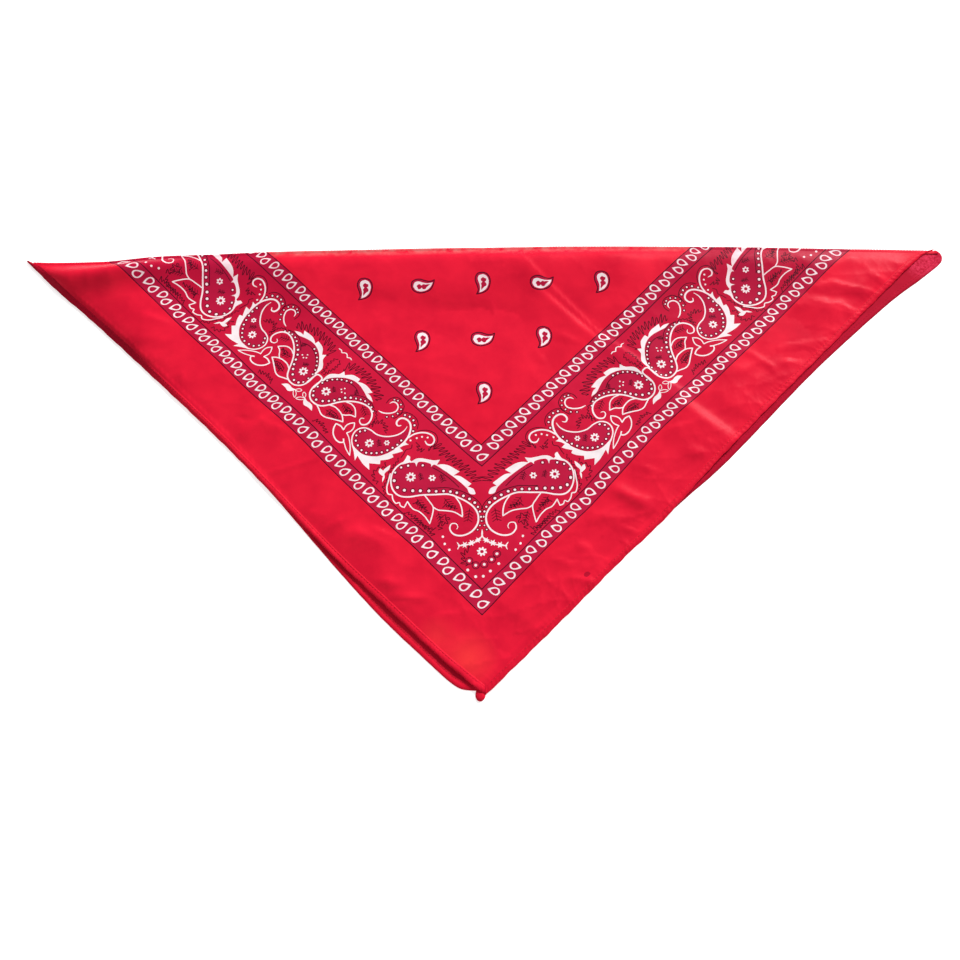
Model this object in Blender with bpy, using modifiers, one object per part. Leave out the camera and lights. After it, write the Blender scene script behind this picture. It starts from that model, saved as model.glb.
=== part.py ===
"""A square cotton bandana, folded in two on its diagonal and laid flat.

The two halves of the square lie on each other: the fold runs along +Y, the corner points to -Y.
Each half is a wall of cloth with a narrow hem on its two free sides, and a turned strip joins the
halves along the fold. Metres, +Z up, origin under the middle of the bounding box.
"""
import math

import bpy

NAME = "bandana"

# Driving dimensions.
HALF_SIDE = 0.2775            # half of the square's side, from its centre to a hem's edge
CENTRE_X = -0.00371           # the square's centre, which lies on the fold
CENTRE_Y = 0.19255
WALL = 0.001                  # thickness of one layer of cloth
GAP = 0.0003                  # clearance between pieces
HEM = 0.0055                  # width of the folded hem
TURN = 0.0034                 # depth of the turned strip along the fold
FRONT_Z = WALL + GAP          # underside of the upper half where it lies flat
MITRE = 0.0002                # what each hem gives up at the bottom corner
ROWS = 27                     # sections of a panel from the fold to the corner
FRONT_PARTS = 3               # strips of the upper half between two points of the fold's edge
BACK_PARTS = 1                # the lower half is flat
TURN_PARTS = 3                # as many as the upper half, so that their seam fits
TURN_STEPS = 6                # chords round the turn
TURN_BULGE = 0.25             # how far a raised turn swells outwards, for each metre that it rises
FOLD_FADE = 0.12              # share of a panel over which its rows straighten out below the fold
FIRST_ROW = 0.0135            # where a panel starts and ends, as shares of its sides
LAST_ROW = 0.997
KNOB_RADIUS = 0.0038          # the turned-in corner of the lower half
KNOB_X, KNOB_Y = -0.0013, -0.3879     # from the square's centre
KNOB_BEVEL = 0.00035

# Free sides: how far along a side, from its middle towards the bottom corner, and how far that
# point of the hem's edge is from the square's centre line, square to the side.
# Columns: along, reach.
FRONT_LEFT = (
    (-0.2808, 0.2810),
    (-0.237, 0.2800),
    (-0.192, 0.2773),
    (-0.108, 0.2751),
    (-0.027, 0.2741),
    (0.045, 0.2758),
    (0.115, 0.2777),
    (0.165, 0.2766),
    (0.234, 0.2751),
    (0.2758, 0.2723),
)
FRONT_RIGHT = (
    (-0.2797, 0.2845),
    (-0.262, 0.2802),
    (-0.215, 0.2792),
    (-0.145, 0.2785),
    (-0.076, 0.2776),
    (0.005, 0.2779),
    (0.072, 0.2798),
    (0.121, 0.2781),
    (0.195, 0.2774),
    (0.2723, 0.2758),
)
BACK_LEFT = (
    (-0.2808, 0.2810),
    (-0.237, 0.2790),
    (-0.192, 0.2755),
    (-0.108, 0.2733),
    (-0.027, 0.2727),
    (0.040, 0.2763),
    (0.090, 0.2803),
    (0.134, 0.2836),
    (0.179, 0.2855),
    (0.225, 0.2846),
    (0.247, 0.2838),
    (0.260, 0.2808),
    (0.2713, 0.2713),
)
BACK_RIGHT = (
    (-0.2805, 0.2862),
    (-0.2810, 0.2900),
    (-0.2785, 0.2942),
    (-0.2709, 0.2966),
    (-0.246, 0.2938),
    (-0.214, 0.2891),
    (-0.157, 0.2852),
    (-0.103, 0.2833),
    (-0.003, 0.2836),
    (0.048, 0.2802),
    (0.120, 0.2755),
    (0.200, 0.2735),
    (0.2713, 0.2713),
)

# The fold's outer edge. Columns: x, y, both from the square's centre.
FOLD_EDGE = (
    (-0.400, -0.0004),
    (-0.341, -0.0012),
    (-0.315, -0.0006),
    (-0.290, 0.0022),
    (-0.262, 0.0041),
    (-0.148, 0.0062),
    (-0.040, 0.0066),
    (0.020, 0.0054),
    (0.073, 0.0063),
    (0.143, 0.0049),
    (0.248, 0.0024),
    (0.326, -0.0006),
    (0.402, -0.0042),
)

# The largest folds of the upper half: soft ridges between two points, from the square's centre.
# Columns: x0, y0, x1, y1, half width, height.
RIDGES = (
    (-0.130, -0.006, 0.110, -0.004, 0.026, 0.0030),     # the roll below the fold
    (-0.350, -0.006, -0.265, -0.004, 0.012, 0.0030),    # the same at the left end
    (0.150, -0.010, 0.300, -0.012, 0.018, 0.0022),      # and at the right end
    (0.026, 0.004, 0.218, -0.180, 0.011, 0.0027),       # the pressed crease to the right side
    (-0.200, -0.180, -0.060, -0.055, 0.012, 0.0014),    # its pair on the left
    (0.285, -0.052, 0.372, -0.026, 0.010, 0.0024),
    (0.110, -0.205, 0.190, -0.190, 0.014, 0.0022),
    (0.060, -0.285, 0.125, -0.245, 0.012, 0.0022),
    (-0.150, -0.250, -0.060, -0.235, 0.014, 0.0018),
    (-0.118, -0.272, -0.030, -0.358, 0.010, 0.0026),    # the lifted edge at the lower left
    (-0.030, -0.362, 0.012, -0.368, 0.012, 0.0030),     # the lifted corner
)


def along_side(side, table, share):
    """A point of a hem's outer edge, from the square's centre, at a share of the side."""
    lengths = [0.0]
    for (a0, r0), (a1, r1) in zip(table, table[1:]):
        lengths.append(lengths[-1] + math.hypot(a1 - a0, r1 - r0))
    want = share * lengths[-1]
    index = next(i for i in range(1, len(lengths)) if want <= lengths[i] + 1e-12)
    part = (want - lengths[index - 1]) / (lengths[index] - lengths[index - 1])
    along = table[index - 1][0] + part * (table[index][0] - table[index - 1][0])
    reach = table[index - 1][1] + part * (table[index][1] - table[index - 1][1])
    root = math.sqrt(2.0)
    return (side * (reach - along) / root, -(reach + along) / root)


def inwards(point, distance):
    """The same point, moved towards the square's centre so that the hem's width is distance."""
    scale = 1.0 - distance / HALF_SIDE
    return (point[0] * scale, point[1] * scale)


def fold_y(x):
    """The fold's outer edge above x."""
    for (x0, y0), (x1, y1) in zip(FOLD_EDGE, FOLD_EDGE[1:]):
        if x <= x1:
            return y0 + (y1 - y0) * (x - x0) / (x1 - x0)
    return FOLD_EDGE[-1][1]


def stations(start, end, parts):
    """Places along the fold, as shares of the way from start to end, at its edge's points."""
    inner = [x for x, _ in FOLD_EDGE if start < x < end]
    knots = [start] + inner + [end]
    shares = [0.0]
    for x0, x1 in zip(knots, knots[1:]):
        for part in range(1, parts + 1):
            shares.append((x0 + (x1 - x0) * part / parts - start) / (end - start))
    return shares


def ridge_height(x, y):
    """How far the upper half stands above the lower one."""
    total = 0.0
    for x0, y0, x1, y1, width, height in RIDGES:
        run_x, run_y = x1 - x0, y1 - y0
        length = math.hypot(run_x, run_y)
        along = ((x - x0) * run_x + (y - y0) * run_y) / length
        across = ((y - y0) * run_x - (x - x0) * run_y) / length
        beyond = max(-along, along - length, 0.0)
        total += height * math.exp(-(across**2 + beyond**2) / width**2)
    return total


def place(x, y, z):
    """From the square's centre to the part's own frame."""
    return (x + CENTRE_X, y + CENTRE_Y, z)


def loft(name, rings, colour):
    """One closed body through rings of points that run round the cloth's wall."""
    count = len(rings[0])
    vertices = [place(*point) for ring in rings for point in ring]
    faces = []
    for row in range(len(rings) - 1):
        for i in range(count):
            j = (i + 1) % count
            base, after = row * count, (row + 1) * count
            faces.append((base + i, base + j, after + j, after + i))
    half = count // 2
    for start, flip in ((0, True), ((len(rings) - 1) * count, False)):
        for i in range(half - 1):
            face = (start + i, start + i + 1, start + count - 2 - i, start + count - 1 - i)
            faces.append(face[::-1] if flip else face)
    mesh = bpy.data.meshes.new(name)
    mesh.from_pydata(vertices, [], faces)
    mesh.validate()
    mesh.shade_smooth()
    mesh.set_sharp_from_angle(angle=math.radians(50.0))
    return add(name, mesh, colour)


def add(name, mesh, colour):
    """An object in the bandana's collection with a material of its own."""
    piece = bpy.data.objects.new(name, mesh)
    material = bpy.data.materials.new(name)
    material.use_nodes = True
    shader = material.node_tree.nodes["Principled BSDF"]
    shader.inputs["Base Color"].default_value = (*colour, 1.0)
    shader.inputs["Roughness"].default_value = 0.7
    shader.inputs["Metallic"].default_value = 0.0
    mesh.materials.append(material)
    bpy.data.collections[NAME].objects.link(piece)
    return piece


def wall_ring(points, lift):
    """A ring round one section of the wall: along its underside, then back along its top."""
    under = [(x, y, lift(x, y)) for x, y in points]
    over = [(x, y, z + WALL) for x, y, z in reversed(under)]
    return under + over


def panel(name, left, right, parts, lift, colour):
    """Half of the square inside its hems, in sections from the fold to the corner."""
    first = inwards(along_side(-1.0, left, FIRST_ROW), HEM + GAP)[0]
    last = inwards(along_side(1.0, right, FIRST_ROW), HEM + GAP)[0]
    columns = stations(first, last, parts)
    rings = []
    for row in range(ROWS):
        share = FIRST_ROW + (LAST_ROW - FIRST_ROW) * row / (ROWS - 1)
        x0, y0 = inwards(along_side(-1.0, left, share), HEM + GAP)
        x1, y1 = inwards(along_side(1.0, right, share), HEM + GAP)
        fade = max(0.0, 1.0 - (share - FIRST_ROW) / FOLD_FADE)
        section = []
        for s in columns:
            x, y = x0 + (x1 - x0) * s, y0 + (y1 - y0) * s
            ends = min(1.0, 8.0 * s, 8.0 * (1.0 - s))
            y += fade * ends * (fold_y(x) - TURN - GAP - y)
            section.append((x, y))
        rings.append(wall_ring(section, lift))
    return loft(name, rings, colour)


def hem(name, side, table, lift, colour):
    """The folded hem of one free side, mitred at the corner and cut off along the fold."""
    rings = []
    for row in range(-1, ROWS + 1):
        share = FIRST_ROW + (LAST_ROW - FIRST_ROW) * row / (ROWS - 1)
        share = min(1.0, max(0.0, share))
        outer = along_side(side, table, share)
        inner = inwards(outer, HEM)
        back = side * MITRE * max(0.0, (share - LAST_ROW) / (1.0 - LAST_ROW))
        ends = [(outer[0] + back, outer[1]), (inner[0] + back, inner[1])]
        if side > 0:
            ends.reverse()
        (xa, ya), (xb, yb) = ends
        section = [(xa + (xb - xa) * s, ya + (yb - ya) * s) for s in (0.0, 0.12, 0.5, 0.88, 1.0)]
        ring = wall_ring(section, lift)
        last = len(ring) - 1
        outside = (0, last) if side < 0 else (len(section) - 1, len(section))
        for index, turn in zip(outside, (0.3, -0.3)):
            x, y, z = ring[index]
            ring[index] = (x, y, z + turn * WALL)
        rings.append(ring)
    return loft(name, rings, colour)


def turned_strip(colour):
    """The strip along the fold where the cloth turns from the lower half into the upper one."""
    root = math.sqrt(2.0)
    start = inwards(along_side(-1.0, FRONT_LEFT, 0.0), HEM + GAP)[0]
    end = inwards(along_side(1.0, FRONT_RIGHT, 0.0), HEM + GAP)[0]
    rings = []
    for s in stations(start, end, TURN_PARTS):
        seam = start + (end - start) * s
        edge_y = fold_y(seam)
        seam_y = edge_y - TURN
        slant = (2.0 * s - 1.0) ** 7
        lift = ridge_height(seam, seam_y)
        middle = (FRONT_Z + WALL + lift) / 2.0
        radius = min(TURN - 0.001, (FRONT_Z + WALL) / 2.0 + TURN_BULGE * lift)

        def at(depth, z):
            y = seam_y + depth
            return (seam + slant * (y - root * GAP), y, z)

        ring = [at(0.0, 0.0)]
        for step in range(TURN_STEPS + 1):
            angle = -math.pi / 2 + math.pi * step / TURN_STEPS
            depth = TURN - radius + radius * math.cos(angle)
            ring.append(at(depth, middle + middle * math.sin(angle)))
        ring.append(at(0.0, 2.0 * middle))
        ring.append(at(0.0, 2.0 * middle - WALL))
        for step in range(TURN_STEPS + 1):
            angle = math.pi / 2 - math.pi * step / TURN_STEPS
            depth = TURN - radius + max(radius - WALL, 0.0) * math.cos(angle)
            ring.append(at(depth, middle + (middle - WALL) * math.sin(angle)))
        ring.append(at(0.0, WALL))
        rings.append(ring)
    return loft("fold_edge", rings, colour)


def knob(colour):
    """The lower half's corner, where its two hems are turned in over each other."""
    bpy.ops.mesh.primitive_cylinder_add(vertices=20, radius=KNOB_RADIUS, depth=WALL)
    piece = bpy.context.active_object
    for collection in list(piece.users_collection):
        collection.objects.unlink(piece)
    mesh = piece.data
    bpy.data.objects.remove(piece)
    tab = add("corner_back", mesh, colour)
    tab.location = place(KNOB_X, KNOB_Y, WALL / 2.0)
    bevel = tab.modifiers.new("round", "BEVEL")
    bevel.width = KNOB_BEVEL
    bevel.segments = 2
    return tab


def flat(_x, _y):
    return 0.0


def raised(x, y):
    return FRONT_Z + ridge_height(x, y)


def main():
    for item in list(bpy.data.objects):
        bpy.data.objects.remove(item)
    bpy.context.scene.collection.children.link(bpy.data.collections.new(NAME))
    red = (0.78, 0.012, 0.035)
    dark = (0.48, 0.006, 0.025)
    hem_red = (0.70, 0.012, 0.035)
    panel("front_layer", FRONT_LEFT, FRONT_RIGHT, FRONT_PARTS, raised, red)
    panel("back_layer", BACK_LEFT, BACK_RIGHT, BACK_PARTS, flat, dark)
    turned_strip(red)
    hem("hem_front_left", -1.0, FRONT_LEFT, raised, hem_red)
    hem("hem_front_right", 1.0, FRONT_RIGHT, raised, hem_red)
    hem("hem_back_left", -1.0, BACK_LEFT, flat, dark)
    hem("hem_back_right", 1.0, BACK_RIGHT, flat, dark)
    knob(hem_red)


main()
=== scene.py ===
"""The looks of a printed cotton bandana, folded on its diagonal and laid flat.

The cloth is worked out flat: each layer is a piece of one square in its own plane, with the print
cut into it, and is then laid in place, round the fold and over its creases. Sizes are in
millimetres from the square's centre, +Y towards the fold, until the meshes are made in metres.
"""

import math

import bpy
import numpy as np
from mathutils import Matrix, Vector
from mathutils.geometry import delaunay_2d_cdt


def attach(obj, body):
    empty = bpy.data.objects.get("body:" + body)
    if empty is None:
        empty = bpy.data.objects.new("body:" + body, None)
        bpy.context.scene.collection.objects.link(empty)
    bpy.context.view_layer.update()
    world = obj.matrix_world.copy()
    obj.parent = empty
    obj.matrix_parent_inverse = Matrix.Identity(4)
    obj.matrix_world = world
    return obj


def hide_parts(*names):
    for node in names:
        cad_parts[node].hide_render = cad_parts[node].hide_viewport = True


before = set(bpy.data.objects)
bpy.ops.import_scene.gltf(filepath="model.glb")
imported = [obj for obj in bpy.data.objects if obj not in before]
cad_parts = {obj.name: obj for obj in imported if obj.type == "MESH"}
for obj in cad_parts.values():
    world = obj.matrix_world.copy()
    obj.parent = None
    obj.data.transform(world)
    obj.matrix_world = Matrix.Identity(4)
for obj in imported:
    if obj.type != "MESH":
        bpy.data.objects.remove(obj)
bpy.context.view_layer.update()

MM = 0.001
ROOT2 = math.sqrt(2.0)

# The cloth as part.py has it.
HALF_SIDE = 277.5              # half of the square's side, to a hem's edge
CENTRE = (-3.71, 192.55)       # the square's centre in the part's frame
HEM = 5.5                      # width of the folded hem
TURN = 3.4                     # depth of the turned strip along the fold
KNOB = (-1.3, -387.9)          # the turned-in corner of the lower half
KNOB_RADIUS = 3.8

# Free sides. Columns: along the side towards the bottom corner, reach from the centre line.
FRONT_LEFT = (
    (-280.8, 281), (-237, 280.9), (-192, 278.3), (-108, 276.1), (-27, 274.9), (45, 276.2),
    (115, 277.9), (165, 277.3), (234, 275.8), (275.8, 272.3),
)
FRONT_RIGHT = (
    (-279.7, 284.5), (-262, 280.2), (-215, 279.2), (-145, 278.5), (-76, 277.6), (5, 277.9),
    (72, 279.8), (121, 278.1), (195, 277.4), (272.3, 275.8),
)
BACK_LEFT = (
    (-280.8, 281), (-237, 279), (-192, 275.5), (-108, 273.3), (-27, 272.7), (40, 276.3),
    (90, 280.3), (134, 283.6), (179, 285.5), (225, 284.6), (247, 283.8), (260, 280.8),
    (271.3, 271.3),
)
BACK_RIGHT = (
    (-280.5, 286.2), (-281, 290), (-278.5, 294.2), (-270.9, 296.6), (-246, 293.8), (-214, 289.1),
    (-157, 285.2), (-103, 283.3), (-3, 283.6), (48, 280.2), (120, 275.5), (200, 273.5),
    (271.3, 271.3),
)
# The fold's outer edge. Columns: x, y.
FOLD_EDGE = (
    (-400, -0.6), (-372, -2.6), (-341, -3.1), (-315, -2.5), (-290, 0.2), (-262, 2.2), (-225, 3.4),
    (-195, 4.8), (-148, 5.3), (-40, 5.9), (20, 5.4), (73, 5.5), (110, 4.8), (143, 4.4), (190, 3.5),
    (248, 1.5), (326, -1.6), (370, -3), (402, -4.2),
)
# The looks' own sizes.
CLOTH = 0.4                    # thickness of the woven cloth
BACK_TOP = 0.6                 # reverse side of the lower half
FRONT_BASE = 0.75              # underside of the upper half where it lies flat on the lower one
CREASE_GAIN = 1.25             # depth of the creases over the heights listed
GRID = 2.5                     # spacing of the vertices of a printed side
REVERSE_GRID = 7.0             # and of a reverse side
TURN_ROWS = 0.8                # spacing of the rows of vertices round the turn
EDGE_STEP = 2.0                # spacing of the vertices along the edges of a layer
MERGE = 0.004                  # vertices of the print nearer than this become one
REVERSE_MERGE = 0.0005         # and of a reverse side

# Creases and rolls. Columns: reach to the left of the way, reach to its right, and the way itself as
# x, y and height of each point; a trough has a height below zero.
CREASES = (
    (24, 44, ((-140, -4, 3.0), (-60, -4, 4.4), (60, -3, 4.4), (118, -3, 3.0))),      # rolls along the fold
    (16, 34, ((120, -4, 2.0), (160, -6, 2.6), (290, -8, 2.2), (340, -10, 2.2), (376, -12, 0.8))),
    (8, 26, ((-304, -4, 3.0), (-275, -2, 4.6), (-245, -1, 4.4), (-215, 0, 3.2), (-175, 1, 2.0),
             (-150, 1, 1.6))),
    (16, 13, ((-386, -14, 0.4), (-370, -18, 2.2), (-352, -19, 3.8), (-336, -19, 5.6), (-320, -17, 5.8),
              (-304, -13, 4.8), (-288, -8, 3.2), (-272, -4, 1.6))),
    (60, 28, ((-362, -16, 1.4), (-340, -20, 3.2), (-318, -28, 3.8), (-300, -44, 3.4), (-284, -62, 3.0),
              (-268, -80, 2.4), (-250, -98, 1.0))),
    (12, 32, ((-150, -30, 0), (-120, -38, -0.5), (-95, -45, -0.9), (-50, -53, -1.1), (0, -61, -1.2),
              (24, -64, -0.8), (44, -66, 0))),
    (26, 4, ((46, -24, 0), (62, -41, -1.0), (88, -67, -1.2), (112, -90, -0.6), (122, -100, 0))),
    (3, 4, ((-22, -6, 0), (-10, -1, 0.5), (6, 0, 0))),
    (3, 5, ((84, -2, 0), (110, 0, 0.5), (140, -3, 0))),
    (3, 5, ((-150, -4, 0), (-128, 0, 0.4), (-100, 2, 0))),
    (20, 20, ((26, 4, 0.4), (120, -90, 0.6), (218, -180, 0.6))),                     # the pressed crease
    (3, 12, ((27, 7, 0.4), (60, -33, 0.6), (104, -82, 0.6), (150, -122, 0.8), (166, -134, 0.6))),
    (9, 30, ((156, -140, 0.8), (182, -163, 1.7), (212, -190, 1.8))),
    (14, 5, ((170, -136, 0), (184, -148, -0.6), (220, -180, -0.7))),
    (14, 8, ((198, -132, 0), (212, -148, 0.7), (230, -160, 0.6))),
    (2.6, 6, ((10, -44, 0), (14, -60, 0.5), (22, -88, 0))),
    (50, 6, ((-390, -3, 0.4), (-378, -10, 0.8), (-366, -20, 1.2), (-354, -30, 1.5), (-341, -42, 2.0),
             (-330, -52, 2.2), (-318, -64, 2.2), (-305, -76, 1.8), (-295, -86, 1.0))),   # the left margin
    (30, 4.2, ((-306, -77, 0.8), (-295, -87, 1.8), (-286, -96, 2.0), (-265, -119, 1.3), (-245, -139, 0.9),
               (-222, -162, 0.5), (-200, -184, 0.3), (-168, -214, 0.2))),
    (4, 8, ((-292, -58, 0), (-283, -61, 0.8), (-270, -66, 0.8), (-256, -70, 0))),
    (10, 8, ((-300, -74, 0), (-285, -80, 0.6), (-262, -84, 0.5), (-245, -82, 0))),
    (6, 5, ((-292, -94, 0), (-275, -100, 0.6), (-262, -101, 0))),
    (3, 4, ((-262, -120, 0), (-250, -113, 0.4), (-240, -104, 0))),
    (3, 3, ((-251, -128, 0), (-249, -118, 0.4), (-247, -112, 0))),
    (5, 6, ((-238, -122, 0), (-214, -114, 0.3), (-200, -118, 0))),
    (3.5, 4.5, ((-208, -183, 0), (-196, -170, 0.8), (-182, -157, 0.8), (-170, -150, 0))),
    (3, 3, ((-206, -152, 0), (-196, -155, -0.5), (-186, -156, 0))),
    (3, 6, ((-182, -156, 0), (-170, -162, 0.5), (-150, -172, 0))),
    (2.5, 3, ((-188, -209, 0), (-165, -202, 0.35), (-140, -194, 0.35), (-122, -188, 0))),
    (14, 14, ((-200, -180, 0), (-130, -118, 0.5), (-60, -55, 0))),
    (3, 7, ((284, -46, 0), (293, -39, 0.56), (306, -36, 0.7), (320, -41, 0.7), (334, -44, 0.56),
            (348, -50, 0))),                                                         # the right margin
    (10, 10, ((290, -50, 0), (330, -38, 0.7), (372, -26, 0.42))),
    (4, 6, ((262, -66, 0), (275, -57, 0.42), (290, -50, 0))),
    (6, 12, ((266, -58, 0), (290, -55, 0.4), (308, -60, 0.6), (330, -72, 0.2))),
    (6, 26, ((276, -60, 0), (300, -58, 1.4), (322, -66, 0.4))),
    (2, 2.5, ((306, -55, 0), (316, -60, 0.35), (328, -65, 0))),
    (4, 7, ((250, -99, 0), (270, -94, 0.63), (290, -92, 0.7), (306, -90, 0))),
    (3, 4, ((214, -92, 0), (232, -103, 0.35), (246, -114, 0.42), (252, -128, 0))),
    (3, 5, ((246, -114, 0.28), (262, -110, 0.42), (278, -112, 0))),
    (4, 5, ((204, -124, 0), (220, -118, 0.35), (238, -116, 0))),
    (4, 5, ((224, -136, 0), (232, -126, 0.35), (246, -122, 0))),
    (3, 4, ((262, -134, 0), (256, -124, 0.28), (250, -116, 0))),
    (4, 4, ((230, -96, 0), (262, -104, -0.28), (280, -100, 0))),
    (3, 4, ((334, -26, 0), (345, -32, 0.42), (356, -38, 0))),
    (3, 4, ((352, -12, 0), (364, -18, 0.35), (376, -18, 0))),
    (5, 7, ((300, -18, 0), (322, -13, 0.35), (342, -16, 0))),
    (3, 10, ((148, -174, 0), (164, -169, 0.7), (186, -163, 0.21))),
    (5, 6, ((162, -188, 0), (176, -191, 0.84), (192, -193, 0))),
    (4, 5, ((176, -178, 0), (188, -184, 0.35), (200, -186, 0))),
    (2.5, 4, ((122, -200, 0), (138, -205, 0.35), (154, -212, 0))),
    (14, 14, ((110, -205, 0), (150, -198, 0.56), (190, -190, 0))),
    (6, 6, ((98, -216, 0), (114, -224, 1.2), (130, -234, 1.3), (144, -242, 0))),     # the lower right
    (5, 5, ((84, -250, 0), (100, -246, 0.7), (116, -243, 0))),
    (3, 4, ((106, -252, 0), (120, -257, 0.5), (134, -262, 0))),
    (5, 5, ((54, -277, 0), (72, -267, -0.9), (96, -252, 0))),
    (3, 5, ((56, -280, 0), (70, -285, 0.6), (86, -286, 0))),
    (4, 6, ((62, -294, 0), (76, -297, 0.5), (92, -300, 0))),
    (3, 5, ((70, -262, 0), (80, -270, 0.5), (92, -274, 0))),
    (3, 4, ((78, -300, 0), (86, -300, 0.7), (94, -302, 0))),
    (8, 12, ((20, -322, 0), (46, -318, 0.4), (70, -312, 0))),
    (6, 10, ((-112, -256, 0), (-96, -258, 1.4), (-78, -266, 0.8), (-66, -276, 0))),  # the lower left
    (3, 5, ((-128, -254, 0), (-112, -247, 0.6), (-98, -243, 0))),
    (3, 4, ((-94, -250, 0), (-78, -257, 0.6), (-62, -264, 0))),
    (4, 5, ((-152, -236, 0), (-134, -240, 0.5), (-118, -243, 0))),
    (4, 5, ((-86, -296, 0), (-72, -298, 0.9), (-58, -300, 0))),
    (4, 3.5, ((-74, -309, 0), (-56, -311, 0.9), (-36, -312, 0))),
    (2.5, 3, ((-72, -318, 0), (-60, -317, 0.35), (-48, -316, 0))),
    (2.5, 5, ((-42, -327, 0), (-24, -324, 0.45), (-4, -321, 0))),
    (14, 14, ((-66, -340, 0), (-30, -344, -0.9), (20, -346, -0.8), (40, -340, 0))),
    (22, 12, ((-140, -244, 0.1), (-112, -272, 0.2), (-80, -306, 0.4), (-40, -347, 0.8), (-14, -371, 0.9),
              (4, -382, 0.6))),
    (40, 26, ((-190, -168, 0), (-150, -208, 0.6), (-100, -256, 1.8), (-60, -296, 2.2), (-26, -330, 1.4),
              (-10, -346, 0))),
    (4, 6, ((-100, -78, 0), (-84, -68, 0.35), (-66, -60, 0))),                       # the middle
    (5, 7, ((-98, -92, 0), (-80, -95, 0.3), (-60, -100, 0))),
    (5, 9, ((-75, -108, 0), (-30, -118, 0.3), (20, -128, 0))),
    (3, 5, ((62, -78, 0), (76, -84, 0.4), (92, -93, 0))),
    (4, 4, ((46, -92, 0), (52, -102, 0.3), (60, -112, 0))),
    (7, 9, ((-30, -150, 0), (2, -156, 0.3), (34, -160, 0))),
    (6, 8, ((-60, -84, 0), (-40, -89, 0.25), (-20, -92, 0))),
)
# Soft waves all over. Columns: x and y parts of the wave's direction, wave length, height, start.
WAVES = (
    (0.55, 0.84, 118.0, 0.28, 0.4),
    (0.93, -0.37, 83.0, 0.20, 2.1),
    (-0.35, 0.94, 61.0, 0.14, 4.0),
    (0.76, 0.65, 43.0, 0.08, 1.2),
    (-0.88, 0.47, 29.0, 0.05, 5.1),
)

# Crisp crumples all over. Columns: x and y parts of the direction, spacing, height, start.
CRUMPLES = (
    (0.90, 0.43, 37.0, 0.60, 0.3),
    (-0.50, 0.87, 29.0, 0.50, 1.7),
    (0.20, 0.98, 22.0, 0.48, 3.1),
    (0.75, -0.66, 17.5, 0.40, 4.2),
    (0.98, -0.20, 12.5, 0.25, 5.0),
)
# How strong the crumples are in the middle, and what each place adds to that within its reach.
CRUMPLED_MIDDLE = 0.18
CRUMPLED_RIGHT, RIGHT_REACH = 0.42, 44.0
CRUMPLED_LEFT, LEFT_REACH = 0.12, 40.0
CRUMPLED_FOLD, FOLD_REACH = 0.14, 14.0
CRUMPLED_LOW, LOW_START, LOW_SOFT = 0.12, -245.0, 9.0
# Puckers beside the upper hems. Columns: side, its table, start of the waves, strength.
PUCKERED_SIDES = ((-1.0, FRONT_LEFT, 0.0, 0.5), (1.0, FRONT_RIGHT, 2.0, 0.45))


# ---------------------------------------------------------------- lines

def smooth(points, step=1.3):
    """A smooth line through the points; a point given twice is a sharp corner."""
    runs, run = [], [points[0]]
    for point in points[1:]:
        if point == run[-1]:
            runs.append(run)
            run = [point]
        else:
            run.append(point)
    runs.append(run)
    line = [points[0]]
    for run in runs:
        padded = [run[0]] + run + [run[-1]]
        for p0, p1, p2, p3 in zip(padded, padded[1:], padded[2:], padded[3:]):
            parts = max(1, math.ceil(math.dist(p1, p2) / step))
            for part in range(1, parts + 1):
                t = part / parts
                weights = (
                    -0.5 * t + t * t - 0.5 * t**3,
                    1.0 - 2.5 * t * t + 1.5 * t**3,
                    0.5 * t + 2.0 * t * t - 1.5 * t**3,
                    -0.5 * t * t + 0.5 * t**3,
                )
                line.append(tuple(sum(w * p[k] for w, p in zip(weights, (p0, p1, p2, p3))) for k in (0, 1)))
    return line


def ring(centre, radius, count=10, phase=0.0):
    angles = [math.tau * i / count + phase for i in range(count)]
    return [(centre[0] + radius * math.cos(a), centre[1] + radius * math.sin(a)) for a in angles]


def side_line(side, table, step=EDGE_STEP):
    """A free side's outer edge, from its tip at the fold to the bottom corner."""
    points = [(side * (reach - along) / ROOT2, -(reach + along) / ROOT2) for along, reach in table]
    return smooth(points, step)


def hull(points):
    """The convex outline round a few points."""
    points = sorted(points)
    chains = []
    for run in (points, points[::-1]):
        chain = []
        for x, y in run:
            while len(chain) > 1:
                (ax, ay), (bx, by) = chain[-2:]
                if (bx - ax) * (y - ay) - (by - ay) * (x - ax) > 1e-7:
                    break
                chain.pop()
            chain.append((x, y))
        chains += chain[:-1]
    return chains


def inwards(point, distance):
    """The same point, moved in from a side by distance, and mitred at the corners."""
    scale = 1.0 - distance / HALF_SIDE
    return (point[0] * scale, point[1] * scale)


FOLD_LINE = np.array(smooth(list(FOLD_EDGE), 2.0))


def fold_y(x):
    """The fold's outer edge above x."""
    return np.interp(x, FOLD_LINE[:, 0], FOLD_LINE[:, 1])


def seam_y(x):
    """Where the upper half starts to turn down to the lower one."""
    return fold_y(x) - TURN


# ---------------------------------------------------------------- relief

def side_frame(side, table, x, y):
    """How far each point lies along a side, and how far inside it."""
    along = (-y - side * x) / ROOT2
    table = np.array(table)
    return along, np.interp(along, table[:, 0], table[:, 1]) - (side * x - y) / ROOT2


def fading(distance, reach):
    """1 at no distance, dying away over the reach."""
    return np.exp(-((distance / reach) ** 2))


def below(value, limit, softness):
    """1 below the limit and 0 above it, with a soft step between."""
    return 1.0 / (1.0 + np.exp(np.clip((value - limit) / softness, -30.0, 30.0)))


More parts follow.
